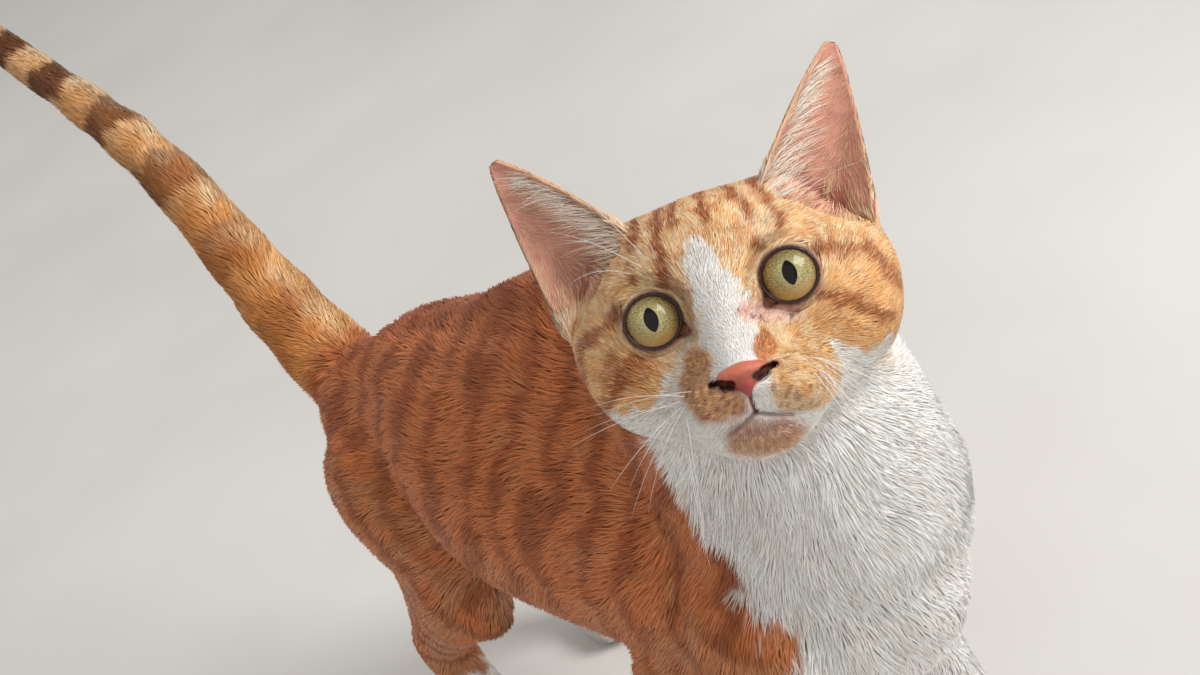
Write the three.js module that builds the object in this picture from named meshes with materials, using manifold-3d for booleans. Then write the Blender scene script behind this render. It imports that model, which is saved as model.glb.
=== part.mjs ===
// A young domestic shorthair cat, life size, standing square on its four paws, tail raised, with its
// head lifted and turned to its right to look up at whoever stands before it.
// Millimetres. +Z is up, the cat faces -Y and its left side is +X. The origin is on the ground, under
// the middle of the model's bounding box.
//
// Each part of the body is a set of masses: round cones along the bones and ellipsoids for muscles,
// blended into one smooth form. A grid of rays cast out from a bone's line wraps the form in a closed
// mesh. Neighbours are then cut from each other, or parted by thin slots, so that no two solids touch.

import * as THREE from "three";
import { mergeVertices } from "three/addons/utils/BufferGeometryUtils.js";
import Module from "manifold-3d";

// ---- driving sizes ------------------------------------------------------------------------------

const GAP = 0.8; // the slot between neighbouring solids
const REACH = 130; // no form reaches further than this from its bone's line
const STRIDE = 1.5; // a form's surface is looked for in steps of this size
const HALVINGS = 18; // and then closed in on by halving the step this many times

const EYE_RADIUS = 10.4; // eyeball
const EYE_SPACING = 40.6; // between the centres of the eyeballs
const EAR_WALL = 2.4;
const SLIVER = 0.36; // cuts leave slivers: no surface moves by more than this to be rid of them

const HEAD_AT = [-10.9, -130.2, 288.5]; // midway between the two corneas
const HEAD_TURN = 38.4; // degrees to its right
const HEAD_LIFT = 32; // degrees above level
const HEAD_TILT = 5.5; // degrees towards its left shoulder

const WHITE = 0xeee6dc;
const GINGER = 0xc9874f;
const RING = 0x9c5528;
const NOSE_PINK = 0xd08474;
const IRIS = 0xa9a45c;

// ---- masses and how they blend ------------------------------------------------------------------

const v3 = (p) => new THREE.Vector3(...p);
const radians = THREE.MathUtils.degToRad;

// An ellipsoid, turned by degrees about X, Y and Z.
function ball(centre, radii, turn = [0, 0, 0], blend = 12) {
  const middle = v3(centre);
  const back = new THREE.Quaternion()
    .setFromEuler(new THREE.Euler(...turn.map(radians)))
    .invert();
  const r = v3(radii);
  const p = new THREE.Vector3();
  const q = new THREE.Vector3();
  const distance = (at) => {
    p.copy(at).sub(middle).applyQuaternion(back).divide(r);
    q.copy(p).divide(r);
    const scaled = p.length();
    return scaled < 1e-6 ? -Math.min(...radii) : (scaled * (scaled - 1)) / q.length();
  };
  return { distance, blend };
}

// A round cone from a to b. squash narrows it sideways, along X.
function cone(a, b, radiusA, radiusB, blend = 10, squash = 1) {
  const start = v3(a);
  const run = v3(b).sub(start);
  const length2 = run.lengthSq();
  const p = new THREE.Vector3();
  const distance = (at) => {
    p.copy(at).sub(start);
    const t = THREE.MathUtils.clamp(p.dot(run) / length2, 0, 1);
    p.addScaledVector(run, -t);
    p.x /= squash;
    return p.length() - THREE.MathUtils.lerp(radiusA, radiusB, t);
  };
  return { distance, blend };
}

// The same mass on both sides of the body.
const pair = (make) => [make(1), make(-1)];

const smoothMin = (a, b, k) => {
  const near = Math.max(k - Math.abs(a - b), 0) / k;
  return Math.min(a, b) - (near * near * k) / 4;
};

// The field of a form: its masses blended together one by one.
const field = (masses) => (at) =>
  masses.reduce((d, mass) => smoothMin(d, mass.distance(at), mass.blend), Infinity);

// ---- wrapping a form in a closed mesh -----------------------------------------------------------

// How far out along a ray the form's surface is, found from outside so that no inner crossing counts.
function surfaceAt(form, origin, direction, grow) {
  const p = new THREE.Vector3();
  const inside = (t) => form(p.copy(origin).addScaledVector(direction, t)) < 0;
  let t = REACH;
  while (t > STRIDE && !inside(t)) t -= STRIDE;
  let low = t;
  let high = t + STRIDE;
  for (let i = 0; i < HALVINGS; i++) {
    const middle = (low + high) / 2;
    if (inside(middle)) low = middle;
    else high = middle;
  }
  return Math.max(low, 0.5) + grow;
}

// A closed mesh of rings round a line of points. Rays fan out over each end as they do on a capsule,
// in as many rings as caps gives for the first end and the last, and one ray goes straight on.
const POLE_CAP = 0.6; // the last ring of a fan stops this part of a ring's step short of that ray

function wrap({ form, line, rings, caps, sectors, grow = 0, up = [0, 0, 1] }) {
  const curve = new THREE.CatmullRomCurve3(line.map(v3), false, "centripetal");
  const origin = new THREE.Vector3();
  const along = new THREE.Vector3();
  const side = new THREE.Vector3();
  const over = new THREE.Vector3();
  const direction = new THREE.Vector3();
  const positions = [];
  const [first, last] = caps;
  const total = first + rings + last;
  const ray = (u, lean, angle) => {
    curve.getPointAt(u, origin);
    curve.getTangentAt(u, along);
    side.crossVectors(along, v3(up)).normalize();
    over.crossVectors(along, side).normalize();
    direction
      .set(0, 0, 0)
      .addScaledVector(side, Math.cos(angle) * Math.cos(lean))
      .addScaledVector(over, Math.sin(angle) * Math.cos(lean))
      .addScaledVector(along, Math.sin(lean));
    const t = surfaceAt(form, origin, direction, grow);
    origin.addScaledVector(direction, t);
    positions.push(origin.x, origin.y, origin.z);
  };
  ray(0, -Math.PI / 2, 0);
  for (let i = 0; i <= total; i++) {
    const u = THREE.MathUtils.clamp((i - first) / rings, 0, 1);
    const before = Math.max(first - i, 0) / (first + POLE_CAP);
    const after = Math.max(i - first - rings, 0) / (last + POLE_CAP);
    for (let j = 0; j < sectors; j++) {
      ray(u, ((after - before) * Math.PI) / 2, (j * 2 * Math.PI) / sectors);
    }
  }
  ray(1, Math.PI / 2, 0);
  const at = (i, j) => 1 + i * sectors + (j % sectors);
  const pole = 1 + (total + 1) * sectors;
  const index = [];
  for (let j = 0; j < sectors; j++) {
    index.push(0, at(0, j + 1), at(0, j));
    index.push(pole, at(total, j), at(total, j + 1));
    for (let i = 0; i < total; i++) {
      index.push(at(i, j), at(i, j + 1), at(i + 1, j + 1));
      index.push(at(i, j), at(i + 1, j + 1), at(i + 1, j));
    }
  }
  const geometry = new THREE.BufferGeometry();
  geometry.setAttribute("position", new THREE.Float32BufferAttribute(positions, 3));
  geometry.setIndex(index);
  return geometry;
}

// ---- solids: joining and cutting ----------------------------------------------------------------

const wasm = await Module();
wasm.setup();

function solid(geometry, matrix) {
  const bare = geometry.clone();
  bare.deleteAttribute("normal");
  bare.deleteAttribute("uv");
  if (matrix) bare.applyMatrix4(matrix);
  const merged = mergeVertices(bare, 1e-3);
  const made = new wasm.Manifold(
    new wasm.Mesh({
      numProp: 3,
      vertProperties: merged.attributes.position.array,
      triVerts: new Uint32Array(merged.index.array),
    }),
  );
  return made;
}

// A cut can leave crumbs beside the body it was made in: only the body is kept.
const body = (manifold) =>
  manifold.decompose().reduce((most, piece) => (piece.volume() > most.volume() ? piece : most));

function geometryOf(manifold) {
  const mesh = body(manifold.simplify(SLIVER)).getMesh();
  const geometry = new THREE.BufferGeometry();
  const positions = new Float32Array(mesh.numVert * 3);
  for (let i = 0; i < mesh.numVert; i++) {
    const from = i * mesh.numProp;
    positions.set(mesh.vertProperties.subarray(from, from + 3), i * 3);
  }
  geometry.setAttribute("position", new THREE.BufferAttribute(positions, 3));
  geometry.setIndex(new THREE.BufferAttribute(mesh.triVerts, 1));
  return geometry;
}

// The part of a solid that lies beyond a plane, less half a gap, so that two halves never touch.
const HALF_SPACE = 600; // the side of a box that is larger than the cat

function beyond(manifold, point, normal) {
  const box = new THREE.BoxGeometry(HALF_SPACE, HALF_SPACE, HALF_SPACE);
  const turn = new THREE.Quaternion().setFromUnitVectors(
    new THREE.Vector3(0, 0, 1),
    v3(normal).normalize(),
  );
  const centre = v3(point).addScaledVector(v3(normal).normalize(), HALF_SPACE / 2 + GAP / 2);
  const matrix = new THREE.Matrix4().compose(centre, turn, new THREE.Vector3(1, 1, 1));
  return manifold.intersect(solid(box, matrix));
}

// Cuts a solid into lengths at planes. Each plane is [point, normal], the normal towards the next length.
function lengths(manifold, planes) {
  const pieces = [];
  let rest = manifold;
  for (const [point, normal] of planes) {
    pieces.push(beyond(rest, point, normal.map((x) => -x)));
    rest = beyond(rest, point, normal);
  }
  return [...pieces, rest];
}

function mesh(name, geometry, color, roughness = 0.85) {
  const made = new THREE.Mesh(
    geometry,
    new THREE.MeshStandardMaterial({ color, roughness, metalness: 0 }),
  );
  made.name = name;
  return made;
}

// ---- trunk --------------------------------------------------------------------------------------

const trunkForm = field([
  ball([0, -52, 166], [51, 90, 61]), // ribs
  ball([14, -4, 227], [31, 64, 34], [-12, 0, 0], 24), // withers
  ball([1, -112, 168], [42, 38, 56], [0, 0, 0], 18), // breast
  ball([3, 34, 166], [53, 84, 60], [4, 0, 0], 24), // belly
  ball([8, 56, 196], [38, 74, 34], [6, 0, 0], 20), // loins
  ball([3, 122, 172], [36, 48, 35], [12, 0, 0], 18), // pelvis
  ball([0, 148, 170], [26, 25, 28], [0, 0, 0], 16), // rump
]);
const trunkWrap = (grow) =>
  wrap({
    form: trunkForm,
    line: [[1, -104, 168], [3, -60, 170], [10, 40, 176], [2, 134, 176]],
    rings: 16,
    caps: [3, 3],
    sectors: 20,
    grow,
  });

// ---- legs ---------------------------------------------------------------------------------------

// Each stands a little ahead of or behind its fellow, as when a cat halts in mid stride.
const FORELEGS = [
  { shoulder: [33, -108, 160], elbow: [40, -70, 116], wrist: [39, -84, 48], paw: [39, -99, 10.8] },
  { shoulder: [-33, -106, 158], elbow: [-41, -42, 120], wrist: [-39, -62, 50], paw: [-38, -77, 10.8] },
];
const HINDLEGS = [
  { hip: [25, 128, 160], knee: [39, 98, 116], hock: [38, 166, 68], paw: [38, 144, 10.8] },
  { hip: [-25, 128, 160], knee: [-38, 83, 116], hock: [-37, 145, 66], paw: [-37, 122, 10.8] },
];

// Four toes and the pad behind them.
function pawMasses([x, y, z]) {
  const toes = [-1.5, -0.5, 0.5, 1.5].map((n) => {
    const inner = Math.abs(n) < 1;
    return ball([x + n * 7.2, y - (inner ? 13 : 8), z - 1.5], [5.6, 11.5, 9.6], [-6, 0, n * 6], 4);
  });
  return [ball([x, y + 4, z], [15, 19, 12], [0, 0, 0], 8), ...toes];
}

const pawWrap = ([x, y, z]) =>
  wrap({
    form: field(pawMasses([x, y, z])),
    line: [[x, y - 6, z], [x, y + 6, z + 1]],
    rings: 2,
    caps: [3, 3],
    sectors: 14,
  });

// What is under the ground is cut off, which gives the soles their flats.
const aboveGround = (manifold) => beyond(manifold, [0, 0, -GAP / 2], [0, 0, 1]);

function foreleg({ shoulder, elbow, wrist, paw }) {
  const s = Math.sign(elbow[0]);
  const limb = wrap({
    form: field([
      ball([s * 34, shoulder[1] + 10, 160], [19, 30, 44], [16, 0, 0]),
      cone(shoulder, elbow, 26, 19, 14, 0.8),
      ball([elbow[0], elbow[1] + 5, elbow[2] + 4], [13, 15, 17], [0, 0, 0], 8),
      cone([elbow[0], elbow[1] - 4, elbow[2]], wrist, 17.5, 12.4, 10),
      cone(wrist, [paw[0], paw[1] + 6, 20], 12.4, 12.2, 6),
    ]),
    line: [
      [s * 33, shoulder[1] + 4, 178],
      [s * 36, (shoulder[1] + elbow[1]) / 2, 142],
      [elbow[0], elbow[1] - 5, elbow[2] - 6],
      wrist,
      [paw[0], paw[1] + 8, 22],
    ],
    rings: 12,
    caps: [3, 1],
    sectors: 12,
    up: [0, -1, 0],
  });
  return aboveGround(solid(limb).add(solid(pawWrap(paw))));
}

function hindleg({ hip, knee, hock, paw }) {
  const s = Math.sign(knee[0]);
  const thigh = wrap({
    form: field([
      ball([s * 27, hip[1] - 16, 144], [19, 35, 46], [-26, 0, 0]),
      cone(hip, knee, 26, 20, 16, 0.75),
      ball([s * 26, hip[1] + 2, 148], [18, 25, 28], [0, 0, 0], 14),
    ]),
    line: [[s * 27, hip[1], 172], [s * 32, hip[1] - 12, 148], [s * 37, knee[1] + 7, 122]],
    rings: 6,
    caps: [3, 3],
    sectors: 16,
    up: [0, -1, 0],
  });
  const heel = [hock[0], hock[1] + 2, hock[2]];
  const shank = wrap({
    form: field([
      cone([knee[0], knee[1] + 6, knee[2]], hock, 19.5, 11, 10),
      cone([s * 33, hip[1] - 4, 132], [hock[0], hock[1] - 6, hock[2] + 14], 20, 10, 16, 0.7),
      ball(heel, [10.2, 10.5, 13], [0, 0, 0], 6),
      cone(heel, [paw[0], paw[1] + 12, 20], 11.3, 11.6, 8),
    ]),
    line: [
      [s * 38, knee[1] + 8, 118],
      [s * 38, (knee[1] + hock[1]) / 2 + 6, 94],
      [hock[0], hock[1] - 3, hock[2] + 2],
      [hock[0], hock[1] - 4, hock[2] - 20],
      [paw[0], paw[1] + 12, 20],
    ],
    rings: 12,
    caps: [2, 1],
    sectors: 12,
    up: [0, -1, 0],
  });
  return aboveGround(solid(thigh).add(solid(shank)).add(solid(pawWrap(paw))));
}

// ---- neck ---------------------------------------------------------------------------------------

const NECK = { base: [7, -103, 184], top: [9, -103, 246] };
const neckForm = field([
  cone(NECK.base, NECK.top, 52.5, 44, 12),
  ball([12, -66, 232], [34, 48, 34], [-22, 0, 0], 18), // nape
]);
const neckWrap = (grow) =>
  wrap({
    form: neckForm,
    line: [NECK.base, NECK.top],
    rings: 5,
    caps: [3, 2],
    sectors: 18,
    up: [0, -1, 0],
    grow,
  });

// ---- head, in its own frame: x left, y back, z up, from midway between the corneas ---------------

const EYE_DEPTH = 9.2; // from the front of the corneas back to the eyeballs' centres
const eyeAt = (s) => [(s * EYE_SPACING) / 2, EYE_DEPTH, 0];

// The head turns to the right, and the cheek on that side is drawn in.
const drawnIn = (s) => (s < 0 ? 3 : 0);

const headMasses = [
  ball([0, 37, 1], [37, 38, 29]), // skull
  ball([0, 20, 10.5], [27, 24, 18.5], [0, 0, 0], 14), // forehead
  ...pair((s) => ball([s * 22, 33, 15], [14, 18, 16.5], [0, 0, 0], 9)), // between the ears
  ...pair((s) => ball([s * (30 - drawnIn(s)), 26, -12], [19, 24, 22], [0, 0, s * 8], 14)), // cheeks
  ...pair((s) => ball([s * (42 - drawnIn(s)), 33, -2], [9, 14, 15], [0, 0, 0], 9)), // below the ears
  ...pair((s) => ball([s * 17, 9, 11], [11, 9, 6], [0, 0, 0], 8)), // brows
  cone([0, 12, 8], [0, -11, -17], 12, 8, 10, 1), // bridge of the nose
  cone([0, -8, -17], [0, -14, -21.5], 8.5, 6.8, 5), // nose
  ...pair((s) => ball([s * 10, -5, -28], [12.5, 13.5, 10], [0, 0, s * 14], 9)), // whisker pads
  ball([0, 2, -38], [13, 14, 8], [12, 0, 0], 6), // chin
  ball([0, 20, -30], [25, 26, 14], [0, 0, 0], 14), // jaw
];
const headForm = field(headMasses);
const headWrap = (grow) =>
  wrap({
    form: headForm,
    line: [[0, 42, 2], [0, 28, -6], [0, 14, -14]],
    rings: 5,
    caps: [4, 9],
    sectors: 32,
    grow,
  });

// A cupped ear: a leaf-shaped shell, rolled round its own length and open to the front and side.
const EAR_HALF_WIDTH = 18.5; // measured across the cup, at the root
const EAR_TIP = 1.1; // half the width that the rounded tip keeps
const EAR_SUNK = 0.12; // the part of its length by which the root is sunk in the head
const EAR_CURL = { root: 1.45, tip: 0.75 }; // half the angle that the shell goes round
const EAR_FOOT = -0.3; // the shell narrows below its root, down to this part of its length
const EAR_FOOT_WIDTH = 0.6; // and keeps this part of the root's width there
const EAR_FLAT = 0.85; // the cup is this much shallower than a round one
const EAR_SET_BACK = 3; // the root lies this far behind the tip's line

function earGeometry(s, grow) {
  const rows = 11;
  const columns = 8;
  const root = v3([s * 31.5, 32, 19]);
  const tip = v3([s * 56, 31, 66.5]);
  const length = tip.clone().sub(root);
  const up = length.clone().normalize();
  const facing = v3([s * 0.42, -0.9, 0.12]).normalize();
  const across = new THREE.Vector3().crossVectors(up, facing).multiplyScalar(s).normalize();
  const front = new THREE.Vector3().crossVectors(across, up).multiplyScalar(s).normalize();
  const positions = [];
  for (const layer of [0, 1]) {
    for (let i = 0; i <= rows; i++) {
      const t = THREE.MathUtils.lerp(EAR_FOOT, 1, i / rows);
      const over = Math.max(t, 0);
      const foot = THREE.MathUtils.lerp(1, EAR_FOOT_WIDTH, (Math.min(t, 0) / EAR_FOOT) ** 2);
      const half = EAR_HALF_WIDTH * foot * Math.pow(1 - Math.pow(over, 1.25), 0.86) + EAR_TIP;
      const curl = THREE.MathUtils.lerp(EAR_CURL.root, EAR_CURL.tip, over);
      for (let j = 0; j <= columns; j++) {
        const angle = ((j / columns) * 2 - 1) * curl;
        const radius = half / Math.sin(Math.min(curl, Math.PI / 2));
        const wall = layer ? EAR_WALL / 2 + grow : -EAR_WALL / 2 - grow;
        const depth = (1 - Math.cos(angle)) * (radius - wall) * EAR_FLAT + wall;
        const p = root.clone().addScaledVector(length, t * (1 + grow / length.length()) - EAR_SUNK);
        p.addScaledVector(across, Math.sin(angle) * (radius - wall));
        p.addScaledVector(front, depth - EAR_SET_BACK * (1 - t));
        positions.push(p.x, p.y, p.z);
      }
    }
  }
  return { positions, rows, columns };
}

function ear(s, grow = 0) {
  const { positions, rows, columns } = earGeometry(s, grow);
  const wide = columns + 1;
  const at = (layer, i, j) => (layer * (rows + 1) + i) * wide + j;
  const index = [];
  const quad = (a, b, c, d) => index.push(a, b, c, a, c, d);
  for (let i = 0; i < rows; i++) {
    for (let j = 0; j < columns; j++) {
      quad(at(0, i, j), at(0, i + 1, j), at(0, i + 1, j + 1), at(0, i, j + 1));
      quad(at(1, i, j), at(1, i, j + 1), at(1, i + 1, j + 1), at(1, i + 1, j));
    }
    quad(at(0, i, 0), at(1, i, 0), at(1, i + 1, 0), at(0, i + 1, 0));
    quad(at(0, i, columns), at(0, i + 1, columns), at(1, i + 1, columns), at(1, i, columns));
  }
  for (let j = 0; j < columns; j++) {
    quad(at(0, 0, j), at(0, 0, j + 1), at(1, 0, j + 1), at(1, 0, j));
    quad(at(0, rows, j), at(1, rows, j), at(1, rows, j + 1), at(0, rows, j + 1));
  }
  if (s < 0) index.reverse();
  const geometry = new THREE.BufferGeometry();
  geometry.setAttribute("position", new THREE.Float32BufferAttribute(positions, 3));
  geometry.setIndex(index);
  return geometry;
}

function headGroup() {
  const group = new THREE.Group();
  group.position.set(...HEAD_AT);
  group.rotation.set(radians(-HEAD_LIFT), radians(HEAD_TILT), radians(-HEAD_TURN), "ZXY");
  group.updateMatrixWorld(true);

  let skull = solid(headWrap(0));
  const noseWrap = (grow) =>
    wrap({
      form: field([ball([0, -17.5, -21], [7.6, 6, 5.2], [-20, 0, 0])]),
      line: [[0, -16.5, -21], [0, -17.5, -21.3]],
      rings: 1,
      caps: [2, 2],
      sectors: 12,
      grow,
    });
  skull = skull.subtract(solid(noseWrap(GAP)));
  const core = solid(headWrap(GAP));
  for (const [side, s] of [["left", 1], ["right", -1]]) {
    const socket = new THREE.SphereGeometry(EYE_RADIUS + GAP, 14, 9);
    socket.translate(...eyeAt(s));
    skull = skull.subtract(solid(socket));
    const eye = new THREE.SphereGeometry(EYE_RADIUS, 14, 9);
    eye.translate(...eyeAt(s));
    group.add(mesh("eye_" + side, eye, IRIS, 0.1));
    group.add(mesh("ear_" + side, geometryOf(solid(ear(s)).subtract(core)), GINGER));
  }
  group.add(mesh("head", geometryOf(skull), GINGER));
  group.add(mesh("nose", noseWrap(0), NOSE_PINK, 0.5));
  return group;
}

// ---- tail ---------------------------------------------------------------------------------------

const TAIL = [
  [1, 148, 172, 19],
  [2, 172, 197, 18.8],
  [2, 187, 223, 16.6],
  [2, 198, 253, 14],
  [2, 208, 283, 12.6],
  [2, 227, 307, 10.9],
  [2, 252, 325, 9.4],
  [2, 279, 341, 8.5],
  [2, 302, 356, 7.8],
  [2, 318, 368, 6.4],
];

function tailForm() {
  const masses = [];
  for (let i = 1; i < TAIL.length; i++) {
    const [a, b] = [TAIL[i - 1], TAIL[i]];
    masses.push(cone(a.slice(0, 3), b.slice(0, 3), a[3], b[3], 6));
  }
  return field(masses);
}
const tailWrap = () =>
  wrap({
    form: tailForm(),
    line: TAIL.map((p) => p.slice(0, 3)),
    rings: 20,
    caps: [1, 2],
    sectors: 11,
    up: [1, 0, 0],
  });

// ---- the whole cat ------------------------------------------------------------------------------

const cat = new THREE.Group();
const head = headGroup();
cat.add(head);
head.updateMatrixWorld(true);
// The room that each big form needs: itself grown by the gap, its mesh thinned out again.
const room = (geometry, matrix) => solid(geometry, matrix).simplify(GAP / 2);
const headRoom = room(headWrap(GAP), head.matrixWorld);
const earRooms = [1, -1].map((s) => room(ear(s, GAP), head.matrixWorld));

const trunkRoom = room(trunkWrap(GAP));
const neckRoom = room(neckWrap(GAP));
cat.add(mesh("trunk", geometryOf(solid(trunkWrap(0))), GINGER));

let neck = solid(neckWrap(0)).subtract(trunkRoom).subtract(headRoom);
for (const space of earRooms) neck = neck.subtract(space);
cat.add(mesh("neck", geometryOf(neck), GINGER));

["left", "right"].forEach((side, i) => {
  const front = FORELEGS[i];
  const back = HINDLEGS[i];
  const frontPieces = lengths(foreleg(front).subtract(trunkRoom).subtract(neckRoom), [
    [[0, front.elbow[1], front.elbow[2] - 6], [0, 0.4, -1]],
    [[0, front.wrist[1], front.wrist[2] - 6], [0, -0.25, -1]],
  ]);
  ["shoulder", "forearm", "forepaw"].forEach((name, n) =>
    cat.add(mesh(name + "_" + side, geometryOf(frontPieces[n]), n ? WHITE : GINGER)),
  );
  const backPieces = lengths(hindleg(back).subtract(trunkRoom), [
    [[0, back.knee[1] + 12, back.knee[2] - 4], [0, 0.55, -1]],
    [[0, back.hock[1] - 3, back.hock[2] - 10], [0, 0.1, -1]],
  ]);
  ["thigh", "shank", "hindfoot"].forEach((name, n) =>
    cat.add(mesh(name + "_" + side, geometryOf(backPieces[n]), n > 1 ? WHITE : GINGER)),
  );
});

const tailPieces = lengths(solid(tailWrap()).subtract(trunkRoom), [
  [[0, 186, 250], [0, 0.1, 1]],
  [[0, 206, 312], [0, 0.5, 1]],
]);
tailPieces.forEach((piece, n) => cat.add(mesh("tail_" + (n + 1), geometryOf(piece), RING)));

const box = new THREE.Box3().setFromObject(cat, true);
const middle = box.getCenter(new THREE.Vector3());
cat.position.set(-middle.x, -middle.y, -box.min.z);

export default cat;
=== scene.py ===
# A young ginger-and-white shorthair cat, life size, standing on its four paws with its tail up, its head
# lifted and turned to its right. +Z is up, the cat faces -Y and its left side is +X. The frame is in
# metres, and the shapes here are worked out in millimetres.

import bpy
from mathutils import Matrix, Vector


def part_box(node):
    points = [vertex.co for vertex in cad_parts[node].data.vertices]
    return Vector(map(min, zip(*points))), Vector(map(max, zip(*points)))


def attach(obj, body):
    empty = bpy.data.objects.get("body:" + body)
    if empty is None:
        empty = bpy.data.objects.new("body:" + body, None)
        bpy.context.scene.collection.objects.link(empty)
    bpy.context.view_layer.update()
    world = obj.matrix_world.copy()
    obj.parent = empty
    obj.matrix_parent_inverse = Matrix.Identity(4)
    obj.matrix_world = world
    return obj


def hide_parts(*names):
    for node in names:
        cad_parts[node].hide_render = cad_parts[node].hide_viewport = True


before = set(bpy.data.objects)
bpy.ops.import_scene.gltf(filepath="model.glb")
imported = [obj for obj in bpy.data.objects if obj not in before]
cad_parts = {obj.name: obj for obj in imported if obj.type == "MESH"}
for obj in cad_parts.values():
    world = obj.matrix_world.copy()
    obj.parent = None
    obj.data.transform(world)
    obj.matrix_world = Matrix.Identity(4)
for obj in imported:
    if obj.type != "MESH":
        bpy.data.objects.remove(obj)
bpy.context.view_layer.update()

import heapq
import math

import bmesh
import bpy
import numpy as np
from mathutils import Matrix, Vector
from mathutils.bvhtree import BVHTree

# ---- Skin: body, limbs and tail ----
# A cat's hide is one supple sheet of skin from nose to tail. It is made as one closed surface that follows
# the outline of the coat from below, a few millimetres deep on the body and next to nothing on the feet.

MM = 0.001
VOXEL = 2.35  # the edge of the cells that the solids are joined in
COAT_DEPTH = {  # how far the skin lies below the tips of the coat, in mm
    "head": 1.3, "eye": 0.6, "nose": 0.6, "ear": 0.4, "neck": 5, "trunk": 4.5, "shoulder": 4,
    "thigh": 4, "shank": 2.2, "forearm": 2, "forepaw": 0.9, "hindfoot": 1.1, "tail": 2.8,
}
# How many rounds of smoothing a part takes: the barrel of the body the most, faces and feet the least.
SMOOTHING = {
    "head": 9, "eye": 4, "nose": 3, "ear": 3, "neck": 60, "trunk": 80, "shoulder": 50,
    "thigh": 50, "shank": 24, "forearm": 20, "forepaw": 5, "hindfoot": 6, "tail": 16,
}
ROUND_STEPS = (0.5, -0.52)  # each round shrinks the surface and then swells it again
SECOND_SMOOTHING = 3  # times fewer rounds are taken once the skin lies below the coat


def part_of(name):
    """The part of the body that a CAD node belongs to: its name without the side or number."""
    return name.split("_")[0]


def unit(v):
    return v / np.maximum(np.linalg.norm(v, axis=-1, keepdims=True), 1e-12)


def smooth(low, high, x):
    """Rises smoothly from 0 at low to 1 at high, or falls where low is the greater."""
    t = np.clip((x - low) / (high - low), 0, 1)
    return t * t * (3 - 2 * t)


def mesh_of(name, bm):
    """A form as a mesh. The form is used up."""
    mesh = bpy.data.meshes.new(name)
    bm.to_mesh(mesh)
    bm.free()
    return mesh


def merged(names):
    """The named CAD nodes as one mesh, with its doubled points merged."""
    bm = bmesh.new()
    for name in names:
        bm.from_mesh(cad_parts[name].data)
    bmesh.ops.remove_doubles(bm, verts=bm.verts, dist=1e-6)
    return mesh_of("merged", bm)


def points_of(mesh):
    flat = np.empty(len(mesh.vertices) * 3)
    mesh.vertices.foreach_get("co", flat)
    return flat.reshape(-1, 3) / MM


def edges_of(mesh):
    flat = np.empty(len(mesh.edges) * 2, np.int32)
    mesh.edges.foreach_get("vertices", flat)
    return flat.reshape(-1, 2)


def triangles_of(mesh):
    flat = np.empty(len(mesh.polygons) * 3, np.int32)
    mesh.loops.foreach_get("vertex_index", flat)
    return flat.reshape(-1, 3)


def move(mesh, points):
    mesh.vertices.foreach_set("co", (points * MM).ravel())
    mesh.update()


def triangulated(mesh):
    bm = bmesh.new()
    bm.from_mesh(mesh)
    bmesh.ops.triangulate(bm, faces=bm.faces)
    bm.to_mesh(mesh)
    bm.free()
    return mesh


def with_modifier(mesh, modifier_type, **settings):
    """The mesh with one modifier applied, as a mesh of triangles."""
    obj = bpy.data.objects.new("work", mesh)
    bpy.context.scene.collection.objects.link(obj)
    modifier = obj.modifiers.new("work", modifier_type)
    for key, value in settings.items():
        setattr(modifier, key, value)
    made = bpy.data.meshes.new_from_object(obj.evaluated_get(bpy.context.evaluated_depsgraph_get()))
    bpy.data.objects.remove(obj)
    return triangulated(made)


def neighbour_mean(values, edges):
    ends = np.concatenate([edges, edges[:, ::-1]])
    count = len(values)
    degree = np.maximum(np.bincount(ends[:, 0], minlength=count), 1)
    columns = values.reshape(count, -1).T
    sums = [np.bincount(ends[:, 0], weights=column[ends[:, 1]], minlength=count) for column in columns]
    return (np.array(sums) / degree).T.reshape(values.shape)


def relax(points, edges, rounds):
    """Smooths points in place of their neighbours, each for its own number of rounds, without shrinking."""
    for turn in range(int(rounds.max())):
        weight = np.clip(rounds - turn, 0, 1)[:, None]
        for step in ROUND_STEPS:
            points = points + step * weight * (neighbour_mean(points, edges) - points)
    return points


def normals_of(points, triangles):
    first, second, third = (points[triangles[:, i]] for i in range(3))
    face = np.cross(second - first, third - first)
    sums = [
        sum(np.bincount(triangles[:, i], weights=face[:, axis], minlength=len(points)) for i in range(3))
        for axis in range(3)
    ]
    return unit(np.array(sums).T)


def node_search():
    """The CAD nodes' names, and a function that gives each point's nearest node as an index into them."""
    points, faces, owners = [], [], []
    names = list(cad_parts)
    for number, name in enumerate(names):
        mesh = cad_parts[name].data
        first = len(points)
        points += [v.co / MM for v in mesh.vertices]
        mesh.calc_loop_triangles()
        faces += [[first + i for i in t.vertices] for t in mesh.loop_triangles]
        owners += [number] * len(mesh.loop_triangles)
    solids = BVHTree.FromPolygons(points, faces)
    return names, lambda at: np.array([owners[solids.find_nearest(p)[2]] for p in at.tolist()])


NODES, nearest_node = node_search()


def by_part(table, owner, edges, blur=12):
    """A number for each point, from a table of parts, passing smoothly from part to part."""
    values = np.array([table[part_of(name)] for name in NODES], float)[owner]
    for _ in range(blur):
        values = neighbour_mean(values, edges)
    return values


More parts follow.
